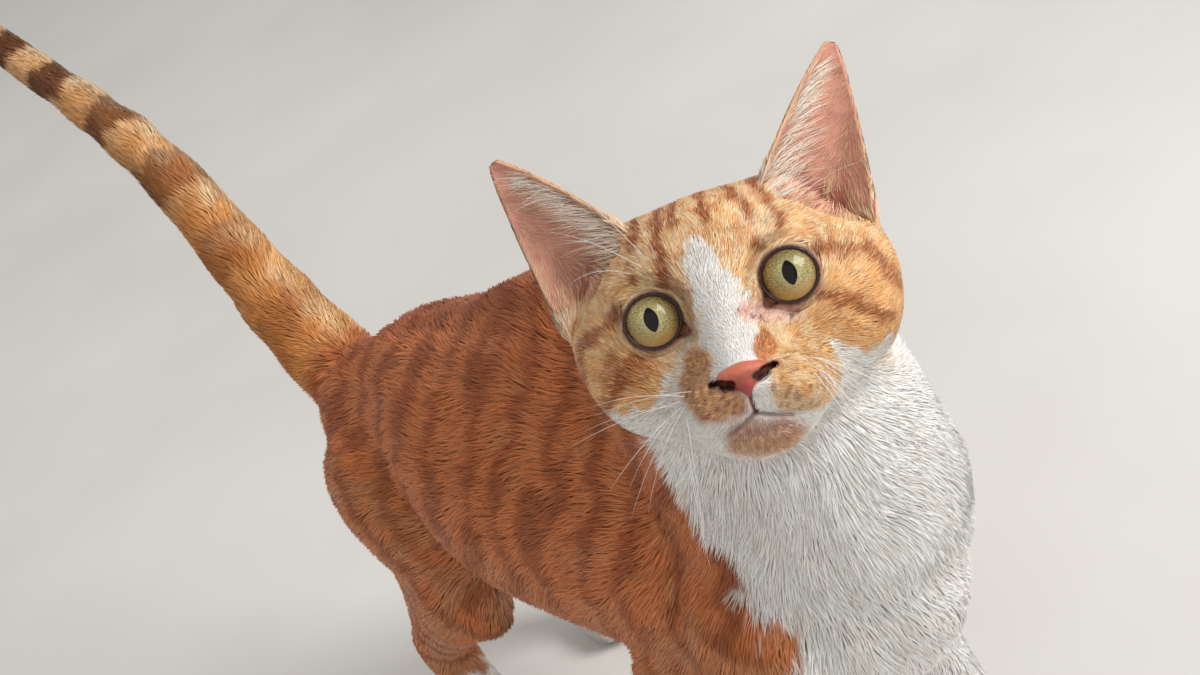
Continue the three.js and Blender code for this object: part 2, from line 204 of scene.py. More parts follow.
body = merged([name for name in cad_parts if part_of(name) != "ear"])
hide = with_modifier(body, "REMESH", mode="VOXEL", voxel_size=VOXEL * MM)
points, edges = points_of(hide), edges_of(hide)
owner = nearest_node(points)
points = relax(points, edges, by_part(SMOOTHING, owner, edges))
normals = neighbour_mean(normals_of(points, triangles_of(hide)), edges)
points -= unit(normals) * by_part(COAT_DEPTH, owner, edges)[:, None]
points = relax(points, edges, by_part(SMOOTHING, owner, edges) / SECOND_SMOOTHING)
move(hide, points)

# ---- Skin: ears ----
# Each ear is a thin leaf of gristle and skin, rolled into a cup that opens to the front and side. It goes
# on below its root, inside the head, where the cup narrows to a hollow. Low on its outer edge is a pocket.

EYE_DEPTH = 9.2  # the eyeballs' centres lie this far behind the corneas
NOSE_FROM_EYES = (-26.7, -21.0)  # back and up, from between the eyeballs' centres to the nose
EAR_ROOT = (31.5, 32, 19)
EAR_TIP = (56, 31, 66.5)
EAR_FACING = (0.42, -0.9, 0.12)
EAR_HALF_WIDTH = 18.2
EAR_TIP_WIDTH = 1.1  # half the width that the rounded tip keeps
EAR_CURL = (1.45, 0.75)  # half the angle the leaf goes round, at its root and at its tip
EAR_SUNK = 0.12  # the part of its length by which the root is sunk in the head
EAR_FOOT = -0.3  # the leaf goes on to here, below its root
EAR_FOOT_LOSS = 0.4  # the part of its width that the leaf has lost at its foot
EAR_SIDES = (1.25, 0.86)  # the powers that draw its two sides in to the tip
EAR_FLAT = 0.85  # how deep the cup is, against a round one
EAR_SET_BACK = 3  # how far back its root lies, against its tip
EAR_WALL, EAR_RIM = 1.5, 0.8  # its thickness, and that of its edge
EAR_ROWS, EAR_COLUMNS = 50, 36
EAR_EDGE_POWER = 6  # the higher it is, the nearer to the edge the leaf gets thin
EAR_HOLLOW = 7.5  # how far the head is sunk inside the cup
POCKET = (0.74, 0.13)  # where the pocket is, across the ear and along it
POCKET_SIZE = (0.2, 0.085)
POCKET_DEPTH = 2.4


def middle(name):
    low, high = (np.array(corner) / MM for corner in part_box(name))
    return (low + high) / 2


# The head has axes of its own: x to its left, y to the back and z up, in millimetres, from midway between
# the corneas. The two eyeballs and the nose give them.
between_eyes = (middle("eye_left") + middle("eye_right")) / 2
head_left = unit(middle("eye_left") - middle("eye_right"))
to_nose = middle("nose") - between_eyes
to_nose = unit(to_nose - head_left * (to_nose @ head_left))
back, up = NOSE_FROM_EYES / np.hypot(*NOSE_FROM_EYES)
across = np.cross(head_left, to_nose)
HEAD_AXES = np.array([head_left, back * to_nose - up * across, up * to_nose + back * across])
HEAD_AT = between_eyes - EYE_DEPTH * HEAD_AXES[1]


def to_head(points):
    return (points - HEAD_AT) @ HEAD_AXES.T


def from_head(points):
    return np.asarray(points, float) @ HEAD_AXES + HEAD_AT


def ear_axes(s):
    """An ear's root, its length and the ways outwards and to its front. The side s is 1 left, -1 right."""
    root = np.array(EAR_ROOT) * (s, 1, 1)
    length = np.array(EAR_TIP) * (s, 1, 1) - root
    facing = np.array(EAR_FACING) * (s, 1, 1)
    rise = unit(length)
    outwards = unit(np.cross(rise, facing)) * s
    return root, length, outwards, unit(np.cross(outwards, rise)) * s


def ear_half_width(t):
    over_root = np.clip(t, 0, 1)
    foot = 1 - EAR_FOOT_LOSS * (np.minimum(t, 0) / EAR_FOOT) ** 2
    return EAR_HALF_WIDTH * foot * (1 - over_root ** EAR_SIDES[0]) ** EAR_SIDES[1] + EAR_TIP_WIDTH


def ear_curl(t):
    return EAR_CURL[0] + (EAR_CURL[1] - EAR_CURL[0]) * np.clip(t, 0, 1)


def ear_surface(s, t, a):
    """Points on the leaf's middle: t runs from the foot to the tip, a from the inner edge to the outer."""
    root, length, outwards, front = ear_axes(s)
    curl = ear_curl(t)
    radius = ear_half_width(t) / np.sin(curl)
    x = np.sin(a * curl) * radius
    y = (1 - np.cos(a * curl)) * radius * EAR_FLAT - EAR_SET_BACK * (1 - t)
    rise = np.multiply.outer(t - EAR_SUNK, length)
    return root + rise + np.multiply.outer(x, outwards) + np.multiply.outer(y, front)


def in_pocket(a, t):
    return np.exp(-(((a - POCKET[0]) / POCKET_SIZE[0]) ** 2) - ((t - POCKET[1]) / POCKET_SIZE[1]) ** 2)


def ear_mesh(s):
    rows = np.linspace(EAR_FOOT, 1, EAR_ROWS + 1)
    t, a = np.meshgrid(rows, np.linspace(-1, 1, EAR_COLUMNS + 1), indexing="ij")
    leaf = ear_surface(s, t, a)
    along, sideways = np.gradient(leaf, axis=0), np.gradient(leaf, axis=1)
    inward = unit(np.cross(sideways, along))
    inward *= np.sign(inward[EAR_ROWS // 2, EAR_COLUMNS // 2] @ ear_axes(s)[3])
    edge = np.sqrt(np.clip(1 - np.maximum(np.abs(a), t) ** EAR_EDGE_POWER, 0, 1))
    half = ((EAR_RIM + (EAR_WALL - EAR_RIM) * edge) / 2)[..., None]
    fold = POCKET_DEPTH * in_pocket(a, t)[..., None]
    layers = np.stack([leaf - inward * half, leaf + inward * (half + fold)])
    bm = bmesh.new()
    verts = [bm.verts.new(p * MM) for p in from_head(layers.reshape(-1, 3))]

    def at(layer, i, j):
        return verts[(layer * (EAR_ROWS + 1) + i) * (EAR_COLUMNS + 1) + j]

    for i in range(EAR_ROWS):
        for j in range(EAR_COLUMNS):
            bm.faces.new((at(0, i, j), at(0, i, j + 1), at(0, i + 1, j + 1), at(0, i + 1, j)))
            bm.faces.new((at(1, i, j), at(1, i + 1, j), at(1, i + 1, j + 1), at(1, i, j + 1)))
        for j in (0, EAR_COLUMNS):
            bm.faces.new((at(0, i, j), at(1, i, j), at(1, i + 1, j), at(0, i + 1, j)))
    for i in (0, EAR_ROWS):
        for j in range(EAR_COLUMNS):
            bm.faces.new((at(0, i, j), at(0, i, j + 1), at(1, i, j + 1), at(1, i, j)))
    bmesh.ops.recalc_face_normals(bm, faces=bm.faces)
    return mesh_of("ear", bm)


def in_ear(p, s):
    """Where points lie in an ear: t along it, a across its cup, and how far inside the cup they are."""
    root, length, outwards, front = ear_axes(s)
    d = p - root
    t = (d @ unit(length)) / np.linalg.norm(length) + EAR_SUNK
    curl = ear_curl(t)
    radius = ear_half_width(np.clip(t, EAR_FOOT, 1)) / np.sin(curl)
    x = (d @ outwards) / radius
    y = (radius - (d @ front + EAR_SET_BACK * (1 - t)) / EAR_FLAT) / radius
    return t, np.arctan2(x, y) / curl, 1 - np.hypot(x, y)


def with_hollow(p, s):
    """Sinks the head's surface inside the cup, which makes the way down into the ear."""
    root, length, _, front = ear_axes(s)
    t, _, inside = in_ear(p, s)
    ahead = (p - root) @ front
    bowl = smooth(0.08, 0.45, inside) * (1 - smooth(0.2, 0.5, t))
    bowl = bowl * smooth(-0.3, -0.1, t) * (1 - smooth(9, 16, ahead))
    return p - np.multiply.outer(bowl * EAR_HOLLOW, unit(length))


for s in (1, -1):
    ear = bpy.data.objects.new("ear", ear_mesh(s))
    bpy.context.scene.collection.objects.link(ear)
    hide = with_modifier(hide, "BOOLEAN", operation="UNION", solver="MANIFOLD", object=ear)
    bpy.data.objects.remove(ear)

# ---- Skin: face ----
# The lids lie close on the eyeballs round an almost round opening. The split upper lip, the mouth and the
# edges of the whisker pads are folds of the same skin, whose mesh is finer where the face needs it.

FINE, MEDIUM, COARSE = 0.6, 1.15, 100  # the skin's edges at eyes and mouth, on face and ears, elsewhere
FINE_REACH = 15
MOUTH_AT, MOUTH_SPREAD = (0, -14, -28), (1.25, 1, 0.9)
FACE_AT, FACE_REACH = (0, 2, -12), 44
SPLIT_ABOVE = 1.5  # an edge is split once it is this many times too long
EYE_RADIUS = 10.4
LID = 0.9  # the lids' thickness
LID_EDGE = 0.3  # half the width of their edge
LID_ROLL = 0.4  # how far that edge is rolled in
LID_FADE = (0.4, 5.5)  # from here to here outside the opening the lids pass into the face
LID_REACH = 15  # past this from the eye's middle the face is left as it is
UNDER_BALL = 1.4  # behind the opening the skin lies this far under the eyeball's surface
OPENING = (7.9, 7.5)  # half the opening's width and height
CORNER = 2.3  # how much further the opening goes towards the nose
CORNER_ANGLE, CORNER_WIDTH = -0.6, 0.2
CORNER_REACH = 8.7  # past this the eyeball's curve is followed no further
NOSE_BED = 3.2  # how deep the skin is sunk under the nose leather
NOSE_BED_AT, NOSE_BED_SIZE = (0, -21.9), (7.4, 4.4)
NOSTRIL_BED = 1.2  # times that depth
# Each nostril is two joined hollows, one to the front and a slit behind it: their middles and half sizes.
NOSTRIL_FORMS = [((4.6, -21.6, -23.1), (2.0, 4.2, 1.25)), ((7.2, -19.4, -21.9), (2.5, 3.4, 0.85))]
NOSTRIL_FRONT = -21.2
MOUTH = [(0, -32.4), (4.5, -34.6), (9, -36.2), (13.5, -36.6), (18, -35.2), (22.5, -32)]
PHILTRUM = [(0, -25.5), (0, -32.4)]
PAD_EDGE = [(11.5, -18), (17, -17), (22.5, -20), (25, -26)]
SKULL_MIDDLE = np.array([0, 8, -26])

eye_from_middle = np.linalg.norm(middle("eye_left") - between_eyes)
EYES = {s: np.array([s * eye_from_middle, EYE_DEPTH, 0]) for s in (1, -1)}


def wanted_length(points):
    p = to_head(points)
    near_eye = np.min([np.linalg.norm(p - EYES[s], axis=1) for s in (1, -1)], axis=0)
    near_mouth = np.linalg.norm((p - MOUTH_AT) / MOUTH_SPREAD, axis=1)
    fine = (near_eye < FINE_REACH) | (near_mouth < FINE_REACH)
    face = np.linalg.norm(p - FACE_AT, axis=1) < FACE_REACH
    ears = (p[:, 2] > 18) & (np.abs(p[:, 0]) > 12)
    return np.where(fine, FINE, np.where(face | ears, MEDIUM, COARSE))


def split_long_edges(mesh):
    """Edges that are too long for their place are split in two, and the faces beside them with them."""
    points, edges = points_of(mesh), edges_of(mesh)
    long = np.linalg.norm(points[edges[:, 0]] - points[edges[:, 1]], axis=1)
    chosen = np.flatnonzero(long > SPLIT_ABOVE * wanted_length(points[edges].mean(1)))
    bm = bmesh.new()
    bm.from_mesh(mesh)
    bm.edges.ensure_lookup_table()
    bmesh.ops.subdivide_edges(bm, edges=[bm.edges[i] for i in chosen], cuts=1)
    bmesh.ops.triangulate(bm, faces=bm.faces)
    bm.to_mesh(mesh)
    bm.free()


def eye_axes(s):
    """Ahead, towards the nose and up, in the plane of the eye's opening."""
    ahead = unit(np.array([-s * 0.02, -1, -0.01]))
    above = unit(np.array([0, 0, 1]) - ahead * ahead[2])
    return ahead, np.cross(ahead, above) * s, above


def opening_radius(angle):
    half_width, half_height = OPENING
    across_oval = np.hypot(half_height * np.cos(angle), half_width * np.sin(angle))
    corner = np.exp(-(((angle - CORNER_ANGLE) / CORNER_WIDTH) ** 2))
    return half_width * half_height / across_oval + CORNER * corner


def with_lids(p, s):
    ahead, inner, above = eye_axes(s)
    from_eye = p - EYES[s]
    depth, x, z = from_eye @ ahead, from_eye @ inner, from_eye @ above
    rho = np.hypot(x, z)
    outside = rho - opening_radius(np.arctan2(z, x))
    ball = np.sqrt(EYE_RADIUS**2 - np.minimum(rho, CORNER_REACH) ** 2)
    lid = np.sqrt((EYE_RADIUS + LID) ** 2 - np.minimum(rho, EYE_RADIUS) ** 2)
    face = lid + (depth - lid) * smooth(*LID_FADE, outside)
    target = np.where(outside < 0, ball - UNDER_BALL, face)
    target = np.where(np.abs(outside) < LID_EDGE, (ball + lid) / 2 - LID_ROLL, target)
    near = (rho < LID_REACH) & (depth > -2)
    return p + np.where(near, target - depth, 0)[:, None] * ahead


def distance_to_path(x, z, path):
    """The distance from points in the face's plane to a path."""
    nearest = np.full(len(x), np.inf)
    for (x0, z0), (x1, z1) in zip(path, path[1:]):
        run, rise = x1 - x0, z1 - z0
        t = np.clip(((x - x0) * run + (z - z0) * rise) / (run**2 + rise**2), 0, 1)
        nearest = np.minimum(nearest, np.hypot(x - x0 - t * run, z - z0 - t * rise))
    return nearest


def with_groove(p, path, width, depth, fade=60):
    """Sinks a soft groove into both sides of the face. It fades out this far from the middle."""
    away = distance_to_path(np.abs(p[:, 0]), p[:, 2], path) / width
    front = (1 - smooth(2, 8, p[:, 1])) * (1 - 0.85 * smooth(fade / 4, fade, np.abs(p[:, 0])))
    return p + unit(SKULL_MIDDLE - p) * (depth * np.exp(-(away**2)) * front)[:, None]


def left_side(p):
    """Points of both sides of the face, laid on its left side."""
    return np.column_stack([np.abs(p[:, 0]), p[:, 1:]])


def ellipsoid(p, centre, radii):
    """About how far points lie outside an ellipsoid."""
    q = (p - np.array(centre)) / radii
    scaled = np.linalg.norm(q, axis=1)
    return scaled * (scaled - 1) / np.maximum(np.linalg.norm(q / radii, axis=1), 1e-6)


def nostrils(p):
    """How far points lie outside the nostrils."""
    return np.min([ellipsoid(left_side(p), *form) for form in NOSTRIL_FORMS], axis=0)


def beside_nostrils(p):
    """The same distance in the plane of the face, for the skin round the nostrils."""
    return nostrils(np.column_stack([p[:, 0], np.full(len(p), NOSTRIL_FRONT), p[:, 2]]))


def with_nose_bed(p):
    """Sinks the skin under the nose leather, and further in the nostrils."""
    from_middle = np.hypot(p[:, 0] / NOSE_BED_SIZE[0], (p[:, 2] - NOSE_BED_AT[1]) / NOSE_BED_SIZE[1])
    bed = 1 - smooth(0.55, 0.95, from_middle)
    hole = 1 - smooth(0, 0.8, beside_nostrils(p))
    depth = np.maximum(bed, NOSTRIL_BED * hole) * (p[:, 1] < 0)
    return p + np.multiply.outer(depth, (0, NOSE_BED, 0))


for _ in range(3):
    split_long_edges(hide)
    points, edges = points_of(hide), edges_of(hide)
    points = relax(points, edges, np.where(wanted_length(points) < COARSE, 2.0, 0))
    move(hide, points)

in_head = to_head(points)
in_head = with_groove(in_head, PAD_EDGE, width=2.0, depth=1.1)
in_head = with_groove(in_head, MOUTH, width=0.8, depth=1.6, fade=13)
in_head = with_groove(in_head, PHILTRUM, width=0.7, depth=1.0)
in_head = with_nose_bed(in_head)
for s in (1, -1):
    in_head = with_lids(in_head, s)
    in_head = with_hollow(in_head, s)
points = from_head(in_head)
move(hide, points)

# ---- Skin: lie of the hair ----
# Hair grows away from the nose: back over the face, down the chest and legs, and along the tail. The way
# over the skin from the tip of the nose gives that direction everywhere.

NOSE_TIP = (0, -20, -22)


def way_from(source, points, edges):
    """How far each point lies from a source, along the edges of the mesh."""
    lengths = np.linalg.norm(points[edges[:, 0]] - points[edges[:, 1]], axis=1).tolist()
    beside = [[] for _ in points]
    for (i, j), length in zip(edges.tolist(), lengths):
        beside[i].append((j, length))
        beside[j].append((i, length))
    way = [math.inf] * len(points)
    way[source] = 0
    queue = [(0, source)]
    while queue:
        so_far, i = heapq.heappop(queue)
        if so_far > way[i]:
            continue
        for j, length in beside[i]:
            if so_far + length < way[j]:
                way[j] = so_far + length
                heapq.heappush(queue, (so_far + length, j))
    return np.array(way)


def slope(values, points, normals, edges):
    """The direction in which values grow fastest over the surface, as unit vectors."""
    start, end = edges.T
    step = points[end] - points[start]
    pull = step * ((values[end] - values[start]) / np.maximum((step**2).sum(1), 1e-6))[:, None]
    pulls = np.concatenate([pull, pull])
    total = np.array([np.bincount(edges.T.ravel(), weights=w, minlength=len(points)) for w in pulls.T]).T
    for _ in range(10):
        total -= normals * (total * normals).sum(1)[:, None]
        total = neighbour_mean(unit(total), edges)
    return unit(total - normals * (total * normals).sum(1)[:, None])


triangles = triangles_of(hide)
normals = normals_of(points, triangles)
source = int(np.argmin(np.linalg.norm(to_head(points) - NOSE_TIP, axis=1)))
way = way_from(source, points, edges)
way = np.where(np.isfinite(way), way, way[np.isfinite(way)].max())
for _ in range(12):
    way = neighbour_mean(way, edges)
lie = slope(way, points, normals, edges)
owner = nearest_node(points)

# ---- Skin: markings and painted light ----
# A ginger tabby with white. The blaze, muzzle, throat, chest and socks are white. The ginger runs in dark
# bars down the flanks, lines over the crown and cheeks, and rings round the tail that end in dark brown.
# Beside them, some colour is painted light and shade: a paler side of the tail, dark nostrils and a darker
# red deep in the ears.


def linear(code):
    """A colour from its sRGB hex code, as linear light."""
    srgb = np.array([int(code[i:i + 2], 16) / 255 for i in (0, 2, 4)])
    return np.where(srgb <= 0.04045, srgb / 12.92, ((srgb + 0.055) / 1.055) ** 2.4)


WHITE = linear("f8f4ee")
CREAM = linear("f3d0a4")
PALE_GINGER = linear("eaaa66")
GINGER = linear("d07c3a")
DARK_GINGER = linear("9c5024")
BACK = linear("cf7a48")
BAR = linear("924826")
FLANK = linear("ca8c62")
RING = linear("6b3a20")
TAN = linear("bd8550")
SMOKE = linear("a48c76")
PINK_SKIN = linear("e6a08c")
# The lining's darker red deep in the ear: partly its own colour and partly painted shade of the hollow.
CONCHA_AND_SHADE = linear("963c34")
MAUVE = linear("8c5a58")
LIP = linear("6d3a35")
ROSE = linear("c98a76")
# The dark of the nostrils is painted shade of their hollows.
NOSTRIL_SHADE = linear("4a1a12")

# On the face: x and height, or x and the way up over the crown for the lines that run over it.
CROWN_LINES = [
    [(-13.3, 8.8), (-10.1, 29.2), (-8, 90)],
    [(-6, 24), (-4.5, 45), (-3.5, 90)],
    [(2.8, 22), (3, 45), (3, 90)],
    [(14.7, 10.2), (16.4, 17.3), (11.3, 28), (9, 90)],
    [(-21, 13), (-17.5, 28), (-15, 70)],
    [(22, 14), (19, 28), (16, 70)],
]
CHEEK_LINES = [
    [(28.5, 5.2), (35.7, 2), (43.4, -0.4), (47.5, -13)],
    [(27, -8.4), (34, -12.5), (42, -20)],
]
BLAZE_HEIGHTS = (-30, -17.6, -10.5, -6, -1.6, 6.5, 13.5, 17.8, 18.8)
BLAZE_RIGHT = (-8, -8, -9.5, -8.2, -7.1, -7, -6.3, -3.2, -1.4)
BLAZE_LEFT = (7.2, 7.2, 7.4, 9.1, 7.2, 5.1, 2.7, 0.1, -1.4)
BLAZE_TOP = (18, 19.5)
JAW_X = (-45, -27, -21, 24, 27, 32, 45)
JAW_TOP = (-20, -23, -14, -20, -21.5, -26.5, -26.5)  # the height up to which cheek and jaw are white
RIGHT_PAD = [(-11, -15.5), (-14.5, -21), (-11.5, -27.2), (-5.5, -28)]
LEFT_PAD = [(10, -18), (16, -20), (20, -27), (17.5, -32), (10, -29.5)]
NOSE_SPOT, NOSE_SPOT_SIZE = (8, -16.2), (3.2, 4.6)
BESIDE_SPOT = [(9.5, -11.8), (12.5, -14), (13.5, -17)]
SMOKY_STREAK = [(-9.5, 15), (-10.5, 8), (-9.5, 1)]
WHITE_STREAK = [(-11.5, -9.5), (-16, -13.2), (-21, -18.2)]
BELOW_EYE = [(6, -5.5), (11, -8.5), (18, -9.5)]
FRECKLES = [(4, -4), (7, -7.5), (11, -10.8), (15, -11.5), (20.5, -9.5)]
CHIN = [(-5.5, -39.2), (0.5, -40.4), (5.5, -41)]
# The middles and half sizes of soft ovals: the brown cheek on the right, the pale places above and below
# the eyes, and the white muzzle.
BROWN_CHEEK = ((-31, -11), (10, 6.5))
BROW = ((18, 15.8), (3.6, 5.5))
UNDER_EYE = ((15, -10.5), (7, 3))
MUZZLE = ((0, -30), (23.5, 17))
WAVES, WAVE_SUM = 14, 3.5  # how many waves make the mottling, and what brings their sum to about 1


def mottle(p, size, seed):
    """Smooth noise, mostly from -1 to 1, in blots of about this many millimetres."""
    random = np.random.default_rng(seed)
    waves = unit(random.normal(size=(WAVES, 3))) * random.uniform(0.6, 1.5, (WAVES, 1)) * math.pi / size
    return np.cos(p @ waves.T + random.uniform(0, 2 * math.pi, WAVES)).sum(1) / WAVE_SUM


def over(colour, coat, amount):
    """One colour laid over another, from not at all to wholly. All three may be one for each point."""
    return colour + (coat - colour) * np.clip(amount, 0, 1)[..., None]


def near_path(x, z, path, reach, blur):
    return 1 - smooth(reach - blur, reach + blur, distance_to_path(x, z, path))


def in_oval(x, z, oval):
    """How far out points lie: 0 at the oval's middle and 1 on its edge."""
    (middle_x, middle_z), (half_width, half_height) = oval
    return np.hypot((x - middle_x) / half_width, (z - middle_z) / half_height)


def face_ginger(p, x, y, z, rough, front):
    """The ginger coat of the face, with its pale eye rings, its dark lines and its brown cheek."""
    side = np.abs(x)
    colour = over(GINGER, PALE_GINGER, 0.65 + 0.4 * rough)
    colour = over(colour, CREAM, 0.3 + 0.6 * smooth(-0.4, 0.7, mottle(p, 2.4, seed=3)))
    colour = over(colour, PALE_GINGER, 0.6 * smooth(6, -8, z) * smooth(18, 26, side))
    for s in (1, -1):
        gap = np.linalg.norm((to_head(p) - EYES[s]) * (1, 0.4, 1), axis=1) - OPENING[0]
        colour = over(colour, CREAM, 0.55 * smooth(4.5, 1.5, gap + 0.8 * rough) * front)
    crown = z + 0.8 * np.maximum(y - 14, 0)
    for path in CROWN_LINES:
        line = near_path(x + 0.7 * rough, crown, path, reach=1.6, blur=0.9)
        colour = over(colour, DARK_GINGER, 0.95 * line)
    for path in CHEEK_LINES:
        line = near_path(side, z + 0.9 * rough, path, reach=2.0, blur=1.3)
        colour = over(colour, DARK_GINGER, 0.85 * line)
    brown = (1 - smooth(0.5, 1.2, in_oval(x, z, BROWN_CHEEK) + 0.2 * rough)) * front
    colour = over(colour, DARK_GINGER, 0.6 * brown)
    brow = 1 - smooth(0.55, 1.15, in_oval(side, z, BROW) + 0.15 * rough)
    under = 1 - smooth(0.5, 1.2, in_oval(side, z, UNDER_EYE) + 0.15 * rough)
    return over(colour, CREAM, 0.85 * np.maximum(brow, under) * front)


def face_white(x, y, z, rough, fine, front):
    """How white the face is: its blaze, its muzzle and its jaw."""
    wander = 1.0 * fine + 0.4 * rough
    left, right = np.interp(z, BLAZE_HEIGHTS, BLAZE_LEFT), np.interp(z, BLAZE_HEIGHTS, BLAZE_RIGHT)
    blaze = smooth(-1.0, 1.0, left - x + wander) * smooth(-1.0, 1.0, x - right + wander)
    blaze *= 1 - smooth(*BLAZE_TOP, z)
    muzzle = 1 - smooth(0.93, 1.07, in_oval(x, z, MUZZLE) + 0.06 * rough)
    muzzle *= smooth(-13.5, -16, z)
    border = np.interp(x, JAW_X, JAW_TOP)
    border -= 0.45 * np.maximum(y - 22, 0)
    jaw = smooth(border + 1.6, border - 1.6, z + rough)
    jaw *= np.where((x > 0) & (x < 24), smooth(-30, -33, z), 1)
    return np.maximum(np.maximum(blaze, muzzle * (x < 3)) * front, jaw)


def face_patches(colour, p, x, z, rough, fine, front):
    """The face with the small patches that break its white: under the eye, on both pads and on the chin."""
    streak = near_path(x, z + 0.7 * rough, WHITE_STREAK, reach=2.0, blur=1.4) * front
    colour = over(colour, over(CREAM, WHITE, 0.6 + 0.3 * fine), 0.8 * streak)
    pink = near_path(x, z + 0.5 * rough, BELOW_EYE, reach=2.6, blur=1.4) * front
    colour = over(colour, over(WHITE, PINK_SKIN, 0.75 + 0.2 * fine), 0.9 * pink)
    freckles = smooth(0.1, 0.5, mottle(p, 1.2, seed=6)) * near_path(x, z, FRECKLES, reach=0.9, blur=0.5)
    colour = over(colour, LIP, 0.75 * (freckles * front))
    right_pad = near_path(x, z + 0.6 * rough, RIGHT_PAD, reach=4.5, blur=1.6) * front
    tan = over(over(PALE_GINGER, TAN, 0.5 + 0.5 * rough), DARK_GINGER, 0.35 + 0.6 * fine)
    colour = over(colour, tan, 0.9 * right_pad)
    left_pad = near_path(x, z + 0.6 * rough, LEFT_PAD, reach=5.6, blur=1.4) * front
    left_pad = left_pad * smooth(5.0, 7.5, x + 0.8 * rough)
    spots = smooth(0.5, 0.9, mottle(p, 1.5, seed=5))
    tan = over(over(PALE_GINGER, CREAM, 0.5 + 0.4 * rough), DARK_GINGER, 0.55 * spots)
    colour = over(colour, tan, 0.92 * left_pad)
    pale = near_path(x + 0.5 * rough, z, BESIDE_SPOT, reach=1.4, blur=0.8) * front
    colour = over(colour, CREAM, 0.8 * pale)
    spot = 1 - smooth(0.7, 1.1, in_oval(x, z, (NOSE_SPOT, NOSE_SPOT_SIZE)) + 0.1 * rough)
    colour = over(colour, over(GINGER, DARK_GINGER, 0.5 + 0.3 * fine), 0.9 * spot * front)
    chin = over(TAN, GINGER, 0.45 + 0.2 * fine)
    chin = over(chin, over(MAUVE, ROSE, 0.4), smooth(-42, -37, z + rough) * 0.9)
    chin = over(chin, CREAM, 0.35 * smooth(0.2, 0.9, fine))
    chin = over(chin, DARK_GINGER, 0.2 - 0.2 * fine)
    on_chin = near_path(x, z + 0.6 * rough, CHIN, reach=5.2, blur=2.4) * front
    return over(colour, chin, 0.85 * on_chin)


def face_colour(p):
    x, y, z = to_head(p).T
    rough, fine = mottle(p, 3.5, seed=1), mottle(p, 1.3, seed=2)
    front = 1 - smooth(10, 20, y)
    colour = face_ginger(p, x, y, z, rough, front)
    streak = near_path(x + 0.5 * rough, z, SMOKY_STREAK, reach=2.0, blur=1.8)
    colour = over(colour, SMOKE, 0.6 * (streak * smooth(-0.3, 0.5, fine) * front))
    colour = over(colour, WHITE, face_white(x, y, z, rough, fine, front))
    return face_patches(colour, p, x, z, rough, fine, front)


BAR_SPACING = 23  # from bar to bar along the flanks
BAND_SPACING = 19  # from band to band down the legs
BREAST_EDGE, BREAST_HEIGHT = -206.5, 169  # the foremost point of the edge of the chest's white
BREAST_SLOPES = (0.47, 0.9)  # how fast that edge runs back, above and below this point
BREAST_LEFT = 7  # how much further it goes on the left
BELLY_WHITE = (121, 108)
SOCKS = (92, 66, 50)  # their heights on the left foreleg, the right one and the hind legs
TAIL_END = 588  # the way along the skin to the tip of the tail
TAIL_RINGS = (6, 35, 66, 99, 138, 177, 217, 257)  # millimetres from the tip to the middle of each ring


def body_colour(p, way, share):
    x, y, z = p.T
    broad, rough, fine = mottle(p, 26, seed=11), mottle(p, 9, seed=12), mottle(p, 3, seed=13)
    low = smooth(190, 130, z)
    colour = over(BACK, FLANK, 0.5 * low + 0.25 * rough)
    bars = np.cos(2 * math.pi * (y + 0.3 * (z - 170)) / BAR_SPACING + 1.5 * broad + 0.8 * rough)
    colour = over(colour, BAR, (0.68 - 0.3 * low) * smooth(-0.1, 0.75, bars + 0.25 * fine))
    spine = smooth(16, 6, np.abs(x - 8 + 3 * rough)) * smooth(195, 210, z)
    colour = over(colour, BAR, 0.6 * spine)
    legs = share["thigh"] + share["shank"] + share["shoulder"] + share["forearm"]
    bands = smooth(0.1, 0.8, np.cos(2 * math.pi * way / BAND_SPACING + 0.9 * rough + 0.4 * broad))
    limb = over(over(BACK, FLANK, 0.6 + 0.5 * rough), BAR, 0.65 * bands)
    colour = over(colour, limb, legs)
    edge = 4 * rough + 1.5 * fine
    above = z - BREAST_HEIGHT
    breast = BREAST_EDGE + np.where(above > 0, BREAST_SLOPES[0] * above, -BREAST_SLOPES[1] * above)
    breast += np.where(x > 0, BREAST_LEFT, 0)
    white = smooth(3, -3, y - breast + edge)
    white = np.maximum(white, smooth(*BELLY_WHITE, z + edge) * share["trunk"])
    fore_sock = np.where(x > 0, SOCKS[0], SOCKS[1])
    socks = (share["forearm"] + share["forepaw"]) * smooth(6, -6, z - fore_sock + 2 * edge)
    socks += (share["shank"] + share["hindfoot"]) * smooth(4, -4, z - SOCKS[2] + edge)
    return over(colour, WHITE, np.maximum(white, socks))


def tail_colour(p, way):
    rough = mottle(p, 7, seed=21)
    from_tip = TAIL_END - way
    along = smooth(230, 40, from_tip)
    # The tail's left side, towards the window, is painted paler: painted light.
    painted_light_side = smooth(-3, 6, p[:, 0] + 4 + 2 * rough)
    base = over(PALE_GINGER, GINGER, (0.55 - 0.45 * painted_light_side) * (1 - 0.6 * along))
    base = over(base, CREAM, (0.35 + 0.3 * painted_light_side) * along + 0.35 * painted_light_side + 0.15 * rough)
    rings = np.cos(2 * math.pi * np.interp(from_tip, TAIL_RINGS, np.arange(len(TAIL_RINGS))) + 0.5 * rough)
    # The rings are painted fainter on that painted-light side.
    strength = (0.4 + 0.55 * along) * (1 - 0.45 * painted_light_side * (1 - along))
    return over(base, over(DARK_GINGER, RING, along), smooth(-0.35, 0.45, rings) * strength)


